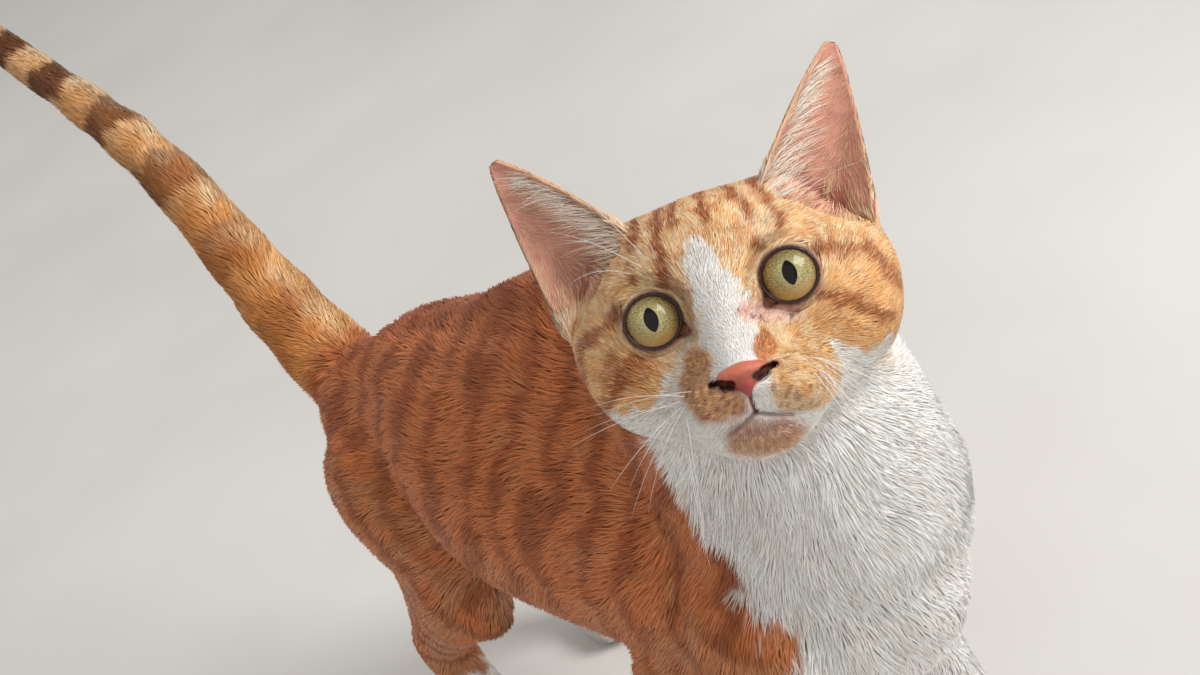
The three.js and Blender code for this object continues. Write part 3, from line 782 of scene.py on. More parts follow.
def ear_colour(p):
    colour = over(GINGER, DARK_GINGER, 0.35 + 0.3 * mottle(p, 6, seed=31))
    in_head = to_head(p)
    for s in (1, -1):
        t, a, inside = in_ear(in_head, s)
        mine = in_head[:, 0] * s > 0
        rim = smooth(0.72, 0.95, np.maximum(np.abs(a), t))
        colour = over(colour, CREAM, 0.6 * rim * mine)
        front = smooth(0.3, -0.5, a) * smooth(0.55, 0.1, t)
        cup = 0.85 * smooth(-0.06, 0.02, inside) * (t > -0.25)
        colour = over(colour, CREAM, np.maximum(0.6 * front, cup) * mine)
    return colour


def coat_colour(p, way, share):
    """The colour of the hair at points on the skin."""
    colour = body_colour(p, way, share)
    colour = over(colour, tail_colour(p, way), share["tail"])
    colour = over(colour, face_colour(p), share["head"] + share["eye"] + share["nose"])
    return over(colour, ear_colour(p), share["ear"])


def inner_ear(p):
    """How far points belong to the bare lining of an ear."""
    in_head = to_head(p)
    lining = np.zeros(len(p))
    for s in (1, -1):
        t, a, inside = in_ear(in_head, s)
        cup = smooth(-0.01, 0.06, inside) * smooth(-0.25, -0.1, t) * (np.abs(a) < 1.05) * (t < 1)
        lining = np.maximum(lining, cup * (in_head[:, 0] * s > 20) * (in_head[:, 2] > 8))
    return lining


def off_eyes(in_head):
    """How far outside the nearer eye's opening points of the face lie."""
    nearest = np.full(len(in_head), np.inf)
    for s in (1, -1):
        ahead, inner, above = eye_axes(s)
        from_eye = in_head - EYES[s]
        x, z = from_eye @ inner, from_eye @ above
        gap = np.hypot(x, z) - opening_radius(np.arctan2(z, x))
        nearest = np.minimum(nearest, np.where(from_eye @ ahead > 0, gap, np.inf))
    return nearest


LIP_EDGE = (0.2, 1.5)  # the bare skin fades out from here to here away from the lip's line
LEATHER_EDGE = ((0, -21.9), (6.6, 3.7))


def bare(p):
    """How far points belong to skin that shows: the lips, round the nose leather, and the lids' edges."""
    in_head = to_head(p)
    x, y, z = in_head.T
    front = 1 - smooth(2, 8, y)
    lips = (1 - smooth(*LIP_EDGE, distance_to_path(np.abs(x), z, PHILTRUM + MOUTH[1:3]))) * front
    leather = (1 - smooth(0.92, 1.08, in_oval(x, z, LEATHER_EDGE))) * (y < -6)
    leather = np.maximum(leather, (1 - smooth(0.2, 0.8, beside_nostrils(in_head))) * (y < -6))
    return lips, leather, 1 - smooth(1.0, 1.8, off_eyes(in_head))


share = {name: by_part({k: float(k == name) for k in COAT_DEPTH}, owner, edges, 8) for name in COAT_DEPTH}
lining = inner_ear(points)
lips, leather_edge, lids = bare(points)
shown = np.maximum(lips, np.maximum(leather_edge, lids))
in_head = to_head(points)
deep, pocket = np.zeros(len(points)), np.zeros(len(points))
for s in (1, -1):
    t, a, _ = in_ear(in_head, s)
    mine = in_head[:, 0] * s > 0
    deep = np.maximum(deep, smooth(0.42, 0.05, t) * mine)
    pocket = np.maximum(pocket, in_pocket(a, t) * mine)
philtrum = 1 - smooth(0.3, 0.9, distance_to_path(in_head[:, 0], in_head[:, 2], PHILTRUM))
ear_skin = over(PINK_SKIN, ROSE, 0.5 + 0.6 * mottle(points, 4.5, seed=61))
hide_colour = coat_colour(points, way, share) * 0.9  # a little darker than the hair over it
skin_tints = [
    (ear_skin, lining),
    # deep in the ear the lining is painted darker red, partly its own colour and partly painted shade
    (CONCHA_AND_SHADE, 0.85 * lining * deep),
    (CREAM, 0.7 * lining * pocket),
    (MAUVE, 0.75 * lids),
    (ROSE, 0.85 * leather_edge),
    (MAUVE, 0.6 * lips),
    (LIP, 0.9 * philtrum * (in_head[:, 1] < 0)),
    (LIP * 0.3, 1 - smooth(0.5, 1.1, off_eyes(in_head))),
    # the sunk skin in and beside the nostrils is painted dark: painted shade
    (NOSTRIL_SHADE, (1 - smooth(0.2, 0.9, beside_nostrils(in_head))) * (in_head[:, 1] < -6)),
]
for tint, amount in skin_tints:
    hide_colour = over(hide_colour, tint, amount)

# Moist spots where the lids meet beside the nose: how far from the eye's middle, their size and colour.
CORNER_SPOTS = {1: [(9.8, 2.0, ROSE), (10.8, 0.9, ROSE)], -1: [(9.8, 2.0, ROSE), (10.8, 0.9, LIP * 0.6)]}
for s, spots in CORNER_SPOTS.items():
    _, inner, above = eye_axes(s)
    towards = inner * math.cos(CORNER_ANGLE) + above * math.sin(CORNER_ANGLE)
    for reach, size, tint in spots:
        corner = EYES[s] + towards * reach
        away = np.hypot(in_head[:, 0] - corner[0], in_head[:, 2] - corner[2])
        amount = 0.75 * (1 - smooth(0.4 * size, size, away))
        hide_colour = over(hide_colour, tint, amount * (in_head[:, 1] < EYE_DEPTH))


def paint(mesh, name, colour):
    attribute = mesh.attributes.new(name, "FLOAT_COLOR", "POINT")
    attribute.data.foreach_set("color", np.column_stack([colour, np.ones(len(colour))]).ravel())


def connect(shader_node, inputs):
    """Sets a node's inputs, each to a value or to what comes out of another node."""
    for socket, value in inputs.items():
        if isinstance(value, bpy.types.Node):
            value = value.outputs[0]
        if isinstance(value, bpy.types.NodeSocket):
            shader_node.id_data.links.new(value, shader_node.inputs[socket])
        else:
            shader_node.inputs[socket].default_value = value


def node(tree, kind, inputs=None, stops=(), **settings):
    """Adds a node with its settings, its inputs and, for a band of colours, the place of each of them."""
    made = tree.nodes.new(kind)
    for name, value in settings.items():
        setattr(made, name, value)
    band = made.color_ramp.elements if stops else []
    while len(band) < len(stops):
        band.new(0.5)
    for element, (place, colour) in zip(band, stops):
        element.position = place
        element.color = (*colour, 1)
    connect(made, inputs or {})
    return made


def material(name, **settings):
    """A new material, its node tree and its Principled shader with these settings."""
    made = bpy.data.materials.new(name)
    made.use_nodes = True
    shader = made.node_tree.nodes["Principled BSDF"]
    connect(shader, {key.replace("_", " "): value for key, value in settings.items()})
    return made, made.node_tree, shader


def in_millimetres(tree):
    """The skin's own place in millimetres, for patterns that have a real size."""
    place = node(tree, "ShaderNodeTexCoord").outputs["Object"]
    return node(tree, "ShaderNodeVectorMath", {0: place, 1: [1 / MM] * 3}, operation="MULTIPLY")


def add_piece(name, mesh, made, slot, *replaced):
    """A finished piece of the cat: it rides on the body and may stand for CAD nodes."""
    mesh.materials.clear()
    mesh.materials.append(made)
    mesh.shade_smooth()
    piece = bpy.data.objects.new(name, mesh)
    bpy.context.scene.collection.objects.link(piece)
    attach(piece, "root")
    if replaced:
        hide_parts(*replaced)
    return piece


paint(hide, "markings_and_painted_light", hide_colour)

# Skin with the short hairs next to it, dull and finely grained in the coat's own colours. The hairs are
# 0.05 mm thick and would not show, so their grain is nine times as coarse.
HIDE_GRAIN = 0.4545
GRAIN_HEIGHT = 0.0004  # metres

hide_material, tree, shader = material("hide", Roughness=0.6)
grain = {"Vector": in_millimetres(tree), "Scale": 1 / HIDE_GRAIN, "Detail": 4, "Roughness": 0.65}
hairs = node(tree, "ShaderNodeTexNoise", grain)
level = node(tree, "ShaderNodeMapRange", {"Value": hairs, "To Min": 0.75, "To Max": 1.2})
painted = node(tree, "ShaderNodeAttribute", attribute_name="markings_and_painted_light")
shade = node(tree, "ShaderNodeVectorMath", {0: painted, "Scale": level}, operation="SCALE")
bump = node(tree, "ShaderNodeBump", {"Height": hairs, "Strength": 0.35, "Distance": GRAIN_HEIGHT})
connect(shader, {"Base Color": shade, "Normal": bump})
replaced = [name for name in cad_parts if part_of(name) not in ("eye", "nose")]
skin = add_piece("skin", hide, hide_material, "coat_ginger", *replaced)

# The coat's roots are placed on an unwrap of the skin, which the skin itself keeps as well.
bpy.context.view_layer.objects.active = skin
skin.select_set(True)
bpy.ops.object.mode_set(mode="EDIT")
bpy.ops.mesh.select_all(action="SELECT")
bpy.ops.uv.smart_project(angle_limit=math.radians(66), island_margin=0.001)
bpy.ops.object.mode_set(mode="OBJECT")
skin.select_set(False)

# ---- Coat ----
# Short hair lies over the skin, and over itself, like shingles: finest on nose and feet, longest on chest
# and neck. Each lock here stands for a tuft of hairs. It is a closed sliver, widest at its middle.

COAT = {  # length in mm, half width in mm, locks on each square mm
    "head": (4.2, 0.15, 5.3), "eye": (2.5, 0.12, 4.0), "nose": (1.6, 0.1, 5.0), "ear": (3.6, 0.14, 3.3),
    "neck": (13.5, 0.24, 2.8), "trunk": (12.0, 0.33, 1.1), "shoulder": (10, 0.3, 1.3),
    "thigh": (11, 0.32, 1.1), "shank": (7.5, 0.27, 1.25), "forearm": (6.5, 0.26, 1.35),
    "forepaw": (3.8, 0.2, 1.6), "hindfoot": (4, 0.2, 1.5), "tail": (8.5, 0.27, 1.7),
}
# On the head, what the coat measures at the nose and what it gains from here to here on the way back.
HEAD_GROWTH = (18, 75)
HEAD_LENGTH, HEAD_HALF_WIDTH, HEAD_DEPTH = (1.7, 5.3), (0.1, 0.08), (0.5, 1.1)
ROOT_SUNK = 0.1  # a root starts this far under the skin
MIDDLE_AT = 0.45  # the part of a lock's length where it is widest
MIDDLE_HEIGHT, TIP_HEIGHT = (0.52, 0.06), (0.88, 0.05)  # parts of the coat's depth, and millimetres more
LOCKS_IN_PIECE = 46000
PATCH = 0.0015  # half the size of a lock's patch on the unwrap
random = np.random.default_rng(7)


def spread_roots(density):
    """Roots strewn over the skin: their triangles and their places in them."""
    first, second, third = (points[triangles[:, i]] for i in range(3))
    area = np.linalg.norm(np.cross(second - first, third - first), axis=1) / 2
    wanted = np.cumsum(area * density[triangles].mean(1))
    count = int(wanted[-1])
    chosen = np.searchsorted(wanted, np.arange(count) + random.uniform(size=count))
    chosen = np.minimum(chosen, len(triangles) - 1)
    u, v = random.uniform(size=(2, count))
    flip = u + v > 1
    u, v = np.where(flip, 1 - u, u), np.where(flip, 1 - v, v)
    return chosen, np.column_stack([1 - u - v, u, v])


def at_roots(values):
    return np.einsum("nk,nk...->n...", weights, values[triangles[chosen]])


def coat_column(index):
    return by_part({name: row[index] for name, row in COAT.items()}, owner, edges, 6)


def with_head(values, at_nose, gained):
    """Values at each point of the skin, with the head's own ones in their place."""
    return values * (1 - on_head) + on_head * (at_nose + gained * head_way)


head_way = smooth(*HEAD_GROWTH, way)
on_head = np.clip(share["head"] + share["eye"] + share["nose"], 0, 1)
length = with_head(coat_column(0), *HEAD_LENGTH)
half_width = with_head(coat_column(1), *HEAD_HALF_WIDTH)
depth = with_head(by_part(COAT_DEPTH, owner, edges), *HEAD_DEPTH)
density = coat_column(2) * (1 - np.maximum(0.75 * lining, smooth(0.2, 0.7, shown)))

chosen, weights = spread_roots(density)
root = at_roots(points)
count = len(root)
rise = unit(at_roots(normals))
lock_length = at_roots(length) * random.uniform(0.75, 1.2, count)
lock_half_width = at_roots(half_width) * random.uniform(0.8, 1.25, count)
lock_depth = at_roots(depth)
root_way = at_roots(way)
way_out = unit(at_roots(lie))
swirl = 0.22 * mottle(root, 17, seed=41) + 0.16 * mottle(root, 5, seed=42)
swirl = swirl + 0.12 * random.normal(size=count)
sideways = np.cross(rise, way_out)
way_out = unit(way_out + sideways * swirl[:, None])
sideways = unit(np.cross(rise, way_out))
root_share = {name: at_roots(values) for name, values in share.items()}
shows_at = root + way_out * (0.6 * lock_length)[:, None]
colour = coat_colour(shows_at, root_way + 0.6 * lock_length, root_share)
on_face = root_share["head"]
colour = over(colour, CREAM, on_face * 0.45 * np.clip(random.normal(size=count) - 0.3, 0, 1))
down = at_roots(lining)  # the lining of the ears has a thin pale down
colour = over(colour, over(PINK_SKIN, CREAM, random.uniform(size=count)), down)
lock_half_width *= 1 - 0.5 * down
tone = 1 + (0.10 + 0.05 * on_face) * random.normal(size=count) + 0.07 * mottle(root, 4, seed=43)
colour = np.clip(colour * np.clip(tone, 0.7, 1.35)[:, None], 0, 0.95)

flat_uv = np.empty(len(hide.loops) * 2)
hide.uv_layers.active.data.foreach_get("uv", flat_uv)
corner_uv = flat_uv.reshape(-1, 3, 2)
root_uv = np.einsum("nk,nkj->nj", weights, corner_uv[chosen])
skin_search = BVHTree.FromPolygons(points.tolist(), triangles.tolist())


def on_skin(places, height):
    """The nearest places on the skin, raised by a height, and the skin's normals there."""
    found = [skin_search.find_nearest(place) for place in places.tolist()]
    normal = np.array([hit[1] for hit in found])
    return np.array([hit[0] for hit in found]) + normal * height[:, None], normal


def lofted(part_of_depth, clearance):
    return lock_depth * loft * part_of_depth + clearance


loft = random.uniform(0.55, 1.0, count)
middles, middle_normal = on_skin(root + way_out * (MIDDLE_AT * lock_length)[:, None], lofted(*MIDDLE_HEIGHT))
tips, tip_normal = on_skin(root + way_out * lock_length[:, None], lofted(*TIP_HEIGHT))
half = sideways * lock_half_width[:, None]
locks = np.stack([root - rise * ROOT_SUNK, middles - half, middles + half, tips], axis=1)
# A few would come out on the other side of an ear, or hang over a lid's edge.
sound = ((middle_normal * rise).sum(1) > 0.3) & ((tip_normal * rise).sum(1) > 0)
sound &= np.minimum(off_eyes(to_head(middles)), off_eyes(to_head(tips))) > 1.0
# Normals that lean to the sides make a lock look round, and those of its ends let it sink into the coat.
facing = unit(rise + 0.8 * middle_normal)
leaning = [unit(facing + side * 0.42 * sideways) for side in (-1, 1)]
lock_normals = np.stack([facing, *leaning, unit(facing + 0.15 * way_out)], axis=1)
left, right, end = (locks[:, k] - locks[:, 0] for k in (1, 2, 3))
turned = (np.cross(left, right) * end).sum(1) > 0  # where the skin is hollow, the sides change places
locks[turned] = locks[turned][:, [0, 2, 1, 3]]
lock_normals[turned] = lock_normals[turned][:, [0, 2, 1, 3]]
LOCK_SHADES = np.array([0.88, 0.99, 0.99, 1.04])  # darkest at the root and lightest at the tip
lock_colours = colour[:, None, :] * LOCK_SHADES[None, :, None]
LOCK_FACES = np.array([(0, 1, 2), (1, 3, 2), (0, 3, 1), (0, 2, 3)])
LOCK_PATCH = np.array([(-1, 0), (0, -1), (0, 1), (1, 0)]) * PATCH

WISPS = 300  # long soft hairs that stand from the front edge of each ear across its cup
WISP_LENGTH = (9, 20)
WISP_HALF_WIDTH = (0.07, 0.11)
WISP_WAY = 100.0  # the way from the nose that puts them among the head's locks
for s in (1, -1):
    _, length_of_ear, outwards, front = ear_axes(s)
    t = 0.02 + 0.8 * random.uniform(size=WISPS) ** 1.2
    a = -0.97 + 0.75 * random.uniform(size=WISPS) ** 1.6 * (1 - 0.5 * t)
    start = ear_surface(s, t, a)
    spray = random.normal(size=(WISPS, 3)) * (0.25, 0.22, 0.2)
    aim = unit(0.75 * outwards + 0.72 * unit(length_of_ear) + 0.3 * front + spray)
    reach = random.uniform(*WISP_LENGTH, WISPS) * (1 - 0.5 * t)
    thin = np.cross(front, aim) * random.uniform(*WISP_HALF_WIDTH, WISPS)[:, None]
    half_way = start + aim * (0.5 * reach)[:, None] + 0.12 * front
    wisps = np.stack([start, half_way - thin, half_way + thin, start + aim * reach[:, None]], axis=1)
    wisp_colours = over(WHITE, CREAM, 0.7 * random.uniform(size=WISPS))
    found = [skin_search.find_nearest(place)[2] for place in from_head(start).tolist()]
    locks = np.concatenate([locks, from_head(wisps)])
    lock_normals = np.concatenate([lock_normals, np.tile(front @ HEAD_AXES, (WISPS, 4, 1))])
    lock_colours = np.concatenate([lock_colours, wisp_colours[:, None] * LOCK_SHADES[None, :, None]])
    root_uv = np.concatenate([root_uv, corner_uv[found].mean(1)])
    root_way = np.concatenate([root_way, np.full(WISPS, WISP_WAY)])

# Guard hairs: smooth dry horn that shines only a little, so the coat looks soft, in a fine uneven grain.
# A real hair is 0.05 mm thick, and the grain is drawn about six times as coarse to show.
HAIR_GRAIN = 0.2857

hair_material, tree, shader = material("guard_hair", Roughness=0.55, Specular_IOR_Level=0.2)
connect(shader, {"Sheen Weight": 0.05})
painted = node(tree, "ShaderNodeAttribute", attribute_name="markings_and_painted_light")
grain = {"Vector": in_millimetres(tree), "Scale": 1 / HAIR_GRAIN, "Detail": 2}
level = {"Value": node(tree, "ShaderNodeTexNoise", grain), "To Min": 0.84, "To Max": 1.16}
level = node(tree, "ShaderNodeMapRange", level)
shade = node(tree, "ShaderNodeVectorMath", {0: painted, "Scale": level}, operation="SCALE")
connect(shader, {"Base Color": shade})


def lock_mesh(name, chosen_locks):
    """One mesh of many locks, with its colours and its UV map; its soft normals are set once it is made."""
    many = len(chosen_locks)
    mesh = bpy.data.meshes.new(name)
    mesh.vertices.add(many * 4)
    mesh.vertices.foreach_set("co", (locks[chosen_locks] * MM).ravel())
    faces = (np.arange(many)[:, None, None] * 4 + LOCK_FACES).reshape(-1, 3)
    mesh.loops.add(faces.size)
    mesh.loops.foreach_set("vertex_index", faces.ravel())
    mesh.polygons.add(len(faces))
    mesh.polygons.foreach_set("loop_start", np.arange(0, faces.size, 3))
    mesh.update(calc_edges=True)
    paint(mesh, "markings_and_painted_light", lock_colours[chosen_locks].reshape(-1, 3))
    uv = (root_uv[chosen_locks][:, None, :] + LOCK_PATCH[None]).reshape(-1, 2)
    layer = mesh.uv_layers.new(name="OFBake")
    layer.data.foreach_set("uv", uv[faces.ravel()].ravel())
    return mesh


order = np.argsort(root_way, kind="stable")
order = order[np.concatenate([sound, np.ones(len(root_way) - count, bool)])[order]]
for number, group in enumerate(np.array_split(order, math.ceil(len(order) / LOCKS_IN_PIECE)), 1):
    mesh = lock_mesh(f"coat_{number}", group)
    add_piece(f"coat_{number}", mesh, hair_material, "coat_ginger")
    mesh.normals_split_custom_set_from_vertices(lock_normals[group].reshape(-1, 3))

# ---- Eyes ----
# A young cat's eyes are large, yellow-green and glassy. Each is a ball of tough white tissue that the lids
# hold in its socket, and here it shows its clear cornea, its iris and a pupil that is a pointed oval.

GAZE = (0.02, -1, 0.05)
CORNEA, CORNEA_RISE = 6.6, 0.5  # half the cornea's width, and how far it stands out
PUPIL = (1.95, 3.5)  # half its width and height
PUPIL_POWERS = (1.35, 2.0)  # these give it its points, top and bottom
PUPIL_EDGE = (1.08, 0.95)
EYE_MAP = 24  # the eye's map spans this many millimetres
IRIS_REACH = 9.0  # the iris's colours, from the middle out, are spread over this
IRIS_COLOURS = [
    (0.12, linear("beb68e")), (0.4, linear("aba26e")), (0.7, linear("a38f5c")), (0.83, linear("6b4f2c")),
    (0.9, linear("24160e")), (0.99, linear("1c120c")), (1.0, linear("a8645a")),
]
FIBRES_ROUND, FIBRES_OUT, FIBRE_GRAIN = 9.0, 0.6, 0.4545
FLECK = 1.818
# Painted light low on the iris and painted shade under the upper lid: their colours and the heights they
# fade over.
LOW_PAINTED_LIGHT, LOW_PAINTED_LIGHT_HEIGHTS = linear("c99f5e"), (-2.5, -6.5)
TOP_PAINTED_SHADE, TOP_PAINTED_SHADE_HEIGHTS = linear("4a3a22"), (2.5, 7.5)


def shaped(name, bm, places):
    """A mesh of this form with its points put in their places. The form is used up."""
    for vertex, place in zip(bm.verts, places):
        vertex.co = Vector(place * MM)
    bmesh.ops.recalc_face_normals(bm, faces=bm.faces)
    return mesh_of(name, bm)


def eye_mesh(s):
    ahead = unit(np.array(GAZE))
    left = unit(np.cross(ahead, (0, 0, 1)))
    above = np.cross(left, ahead)
    bm = bmesh.new()
    bmesh.ops.create_uvsphere(bm, u_segments=72, v_segments=56, radius=1)
    bmesh.ops.triangulate(bm, faces=bm.faces)
    layer = bm.loops.layers.uv.new("eye_plane")
    for face in bm.faces:
        for loop in face.loops:
            loop[layer].uv = loop.vert.co.xy * EYE_RADIUS / EYE_MAP + Vector((0.5, 0.5))
    on_ball = np.array([v.co for v in bm.verts])
    rho = np.hypot(on_ball[:, 0], on_ball[:, 1]) * EYE_RADIUS
    swell = CORNEA_RISE * np.clip(1 - (rho / CORNEA) ** 2, 0, 1) * (on_ball[:, 2] > 0)
    from_eye = (on_ball * (EYE_RADIUS + swell)[:, None]) @ np.array([left, above, ahead])
    return shaped("eye", bm, from_head(from_eye + EYES[s]))


# The cornea is clear and wet, so it is a sharp coat over the dull iris behind it. Fibres run out through the
# iris. Its top is darkened with painted shade of the upper lid, and its bottom is warmed with painted light
# where light falls in from above. Real fibres are 0.1 mm wide. These are about a quarter of a millimetre
# half-way out, so that they show.
eye_material, tree, shader = material("cornea_over_iris", Roughness=0.35, Specular_IOR_Level=0)
connect(shader, {"Coat Weight": 1, "Coat IOR": 1.4, "Coat Roughness": 0.02})
eye_uv = node(tree, "ShaderNodeUVMap", uv_map="eye_plane")
to_plane = {0: eye_uv, 1: (EYE_MAP, EYE_MAP, 0), 2: (-EYE_MAP / 2, -EYE_MAP / 2, 0)}
plane = node(tree, "ShaderNodeVectorMath", to_plane, operation="MULTIPLY_ADD")
eye_x, eye_y = node(tree, "ShaderNodeSeparateXYZ", {0: plane}).outputs[:2]
radius = node(tree, "ShaderNodeVectorMath", {0: plane}, operation="LENGTH").outputs["Value"]
angle = node(tree, "ShaderNodeMath", {0: eye_y, 1: eye_x}, operation="ARCTAN2")
round_iris = node(tree, "ShaderNodeMath", {0: angle, 1: FIBRES_ROUND}, operation="MULTIPLY")
out_iris = node(tree, "ShaderNodeMath", {0: radius, 1: FIBRES_OUT}, operation="MULTIPLY")
fibre_place = node(tree, "ShaderNodeCombineXYZ", {0: round_iris, 1: out_iris})
fibre_grain = {"Vector": fibre_place, "Scale": 1 / FIBRE_GRAIN, "Detail": 4}
fibres = node(tree, "ShaderNodeTexNoise", fibre_grain)
flecks = node(tree, "ShaderNodeTexNoise", {"Vector": plane, "Scale": 1 / FLECK, "Detail": 3})
blot = node(tree, "ShaderNodeMath", {0: flecks, 1: 0.25, 2: -0.125}, operation="MULTIPLY_ADD")
outwards = {0: radius, 1: 1 / IRIS_REACH, 2: blot}
outwards = node(tree, "ShaderNodeMath", outwards, operation="MULTIPLY_ADD")
iris = node(tree, "ShaderNodeValToRGB", {"Fac": outwards}, stops=IRIS_COLOURS)
light = {"Value": fibres, "From Min": 0.38, "From Max": 0.62, "To Min": 0.5, "To Max": 1.4}
light = node(tree, "ShaderNodeMapRange", light)
iris = node(tree, "ShaderNodeVectorMath", {0: iris, "Scale": light}, operation="SCALE")
# Lays the painted light low on the iris and the painted shade under the upper lid.
for tint, (start, end) in ((LOW_PAINTED_LIGHT, LOW_PAINTED_LIGHT_HEIGHTS), (TOP_PAINTED_SHADE, TOP_PAINTED_SHADE_HEIGHTS)):
    strength = {"Value": eye_y, "From Min": start, "From Max": end, "To Max": 0.75}
    strength = node(tree, "ShaderNodeMapRange", strength)
    iris = node(tree, "ShaderNodeMix", {"Factor": strength, 6: iris, 7: (*tint, 1)}, data_type="RGBA")
    iris = iris.outputs[2]
in_pupil = node(tree, "ShaderNodeVectorMath", {0: plane, 1: (*PUPIL, 1)}, operation="DIVIDE")
in_pupil = node(tree, "ShaderNodeVectorMath", {0: in_pupil}, operation="ABSOLUTE")
sides = node(tree, "ShaderNodeSeparateXYZ", {0: in_pupil}).outputs[:2]
across_pupil, along_pupil = (
    node(tree, "ShaderNodeMath", {0: side, 1: power}, operation="POWER")
    for side, power in zip(sides, PUPIL_POWERS)
)
pupil = node(tree, "ShaderNodeMath", {0: across_pupil, 1: along_pupil}, operation="ADD")
pupil = {"Value": pupil, "From Min": PUPIL_EDGE[0], "From Max": PUPIL_EDGE[1]}
pupil = node(tree, "ShaderNodeMapRange", pupil)
black = (*linear("0d0a0a"), 1)
eye_colour = node(tree, "ShaderNodeMix", {"Factor": pupil, 6: iris, 7: black}, data_type="RGBA")
connect(shader, {"Base Color": eye_colour.outputs[2]})
SIDES = {"left": 1, "right": -1}
for side, s in SIDES.items():
    add_piece("eyeball_" + side, eye_mesh(s), eye_material, "eye", "eye_" + side)

# ---- Lid rims ----
# The free edge of a cat's lids is bare, almost black skin, kept moist by the eye. It runs round the opening
# as a thin roll that lies on the eyeball and closes the gap between it and the lids.

RIM_STEPS, RIM_SIDES = 96, 10
RIM_RADIUS = 0.6
RIM_OUT, RIM_AHEAD = 0.15, 0.35  # how far it lies outside the opening's line and ahead of the eyeball
MOIST_SPOT = 0.8333


def tube(path, radii, sides, closed=False):
    """Points and faces of a tube along a path of points. Unless it is closed, it has flat ends."""
    path = np.asarray(path, float)
    if closed:
        along = np.roll(path, -1, axis=0) - np.roll(path, 1, axis=0)
    else:
        along = np.gradient(path, axis=0)
    along = unit(along)
    first = unit(np.cross(along, np.where(np.abs(along[:, 1:2]) < 0.9, (0, 1, 0), (1, 0, 0))))
    second = np.cross(along, first)
    turns = np.arange(sides) * 2 * math.pi / sides
    ring = np.multiply.outer(np.cos(turns), first) + np.multiply.outer(np.sin(turns), second)
    places = (path + ring * np.asarray(radii)[:, None]).transpose(1, 0, 2).reshape(-1, 3)
    rows = len(path) if closed else len(path) - 1
    faces = []
    for i in range(rows):
        for j in range(sides):
            here, there, after = i * sides, (i + 1) % len(path) * sides, (j + 1) % sides
            faces.append((here + j, here + after, there + after, there + j))
    if not closed:
        faces.append(tuple(range(sides))[::-1])
        faces.append(tuple(range((len(path) - 1) * sides, len(path) * sides)))
    return places, faces


def tube_mesh(name, tubes):
    places, faces = [], []
    for some_places, some_faces in tubes:
        first = len(places)
        places += [Vector(p * MM) for p in from_head(some_places)]
        faces += [tuple(first + i for i in face) for face in some_faces]
    mesh = bpy.data.meshes.new(name)
    mesh.from_pydata(places, [], faces)
    bm = bmesh.new()
    bm.from_mesh(mesh)
    bmesh.ops.recalc_face_normals(bm, faces=bm.faces)
    bm.to_mesh(mesh)
    bm.free()
    return triangulated(mesh)


# Bare dark skin with a soft wet shine, mottled in spots of under a millimetre.
rim_material, tree, shader = material("lid_margin", Roughness=0.3, Coat_Weight=0.2, Coat_Roughness=0.25)
wet = {"Vector": in_millimetres(tree), "Scale": 1 / MOIST_SPOT, "Detail": 3}
wet = node(tree, "ShaderNodeTexNoise", wet)
stops = [(0.3, linear("1a0b07")), (0.7, linear("3c1d15"))]
connect(shader, {"Base Color": node(tree, "ShaderNodeValToRGB", {"Fac": wet}, stops=stops)})
for side, s in SIDES.items():
    ahead, inner, above = eye_axes(s)
    angles = np.arange(RIM_STEPS) * 2 * math.pi / RIM_STEPS
    reach = opening_radius(angles) + RIM_OUT
    out = np.sqrt(EYE_RADIUS**2 - np.minimum(reach, CORNER_REACH) ** 2) + RIM_AHEAD
    rim = EYES[s] + np.multiply.outer(reach * np.cos(angles), inner)
    rim = rim + np.multiply.outer(reach * np.sin(angles), above)
    rim = rim + np.multiply.outer(out, ahead)
    rim = tube(rim, np.full(RIM_STEPS, RIM_RADIUS), RIM_SIDES, closed=True)
    add_piece("lid_rim_" + side, tube_mesh("lid_rim", [rim]), rim_material, "eye")

# ---- Nose ----
# The nose leather is a small pink shield of bare, thick skin with a straight top. Its two comma-shaped
# nostrils open to the sides, and a groove runs down from between them to the lip.

NOSE_HEART = np.array((0, -15.2, -21.3))  # every point of the nose is seen straight from here
NOSE_REACH, NOSE_LEAST = 12, 0.5  # no point of it lies further from its heart than this, or nearer
SEARCH_STEPS, HALVINGS = 60, 14
# The nose grows out of four rounded masses: their middles, half sizes and how softly each joins the rest.
NOSE_MASSES = [
    ((0, -17.9, -20.8), (5.6, 5.0, 2.9), None),
    ((4.3, -16.9, -21.0), (2.9, 4.3, 2.1), 1.4),
    ((0, -17.3, -23.6), (2.9, 4.3, 3.2), 1.6),
    ((0, -15.6, -25.9), (1.2, 3.2, 2.6), 1.5),
]
NOSTRIL_SOFTNESS = 0.6
NOSE_GROOVE, GROOVE_SOFTNESS = ((0, -23.4, -25.5), (0.35, 1.2, 4)), 0.5
LEATHER_TOP, LEATHER_BOTTOM = linear("c96c52"), linear("a2403a")
LEATHER_BLOT, LEATHER_CELL = 2.0, 0.4167
CELL_DEPTH = 0.00025  # metres


def blended(first, second, softness):
    """The lesser of two distances, with a soft corner where they meet."""
    near = np.maximum(softness - np.abs(first - second), 0) / softness
    return np.minimum(first, second) - near * near * softness / 4


def nose_form(p):
    """How far points lie outside the nose leather."""
    at_left = left_side(p)
    form = None
    for centre, radii, softness in NOSE_MASSES:
        mass = ellipsoid(at_left, centre, radii)
        form = mass if form is None else blended(form, mass, softness)
    form = -blended(-form, nostrils(p), NOSTRIL_SOFTNESS)
    return -blended(-form, ellipsoid(at_left, *NOSE_GROOVE), GROOVE_SOFTNESS)


def inside_nose(distance):
    return nose_form(NOSE_HEART + rays * np.reshape(distance, (-1, 1))) < 0


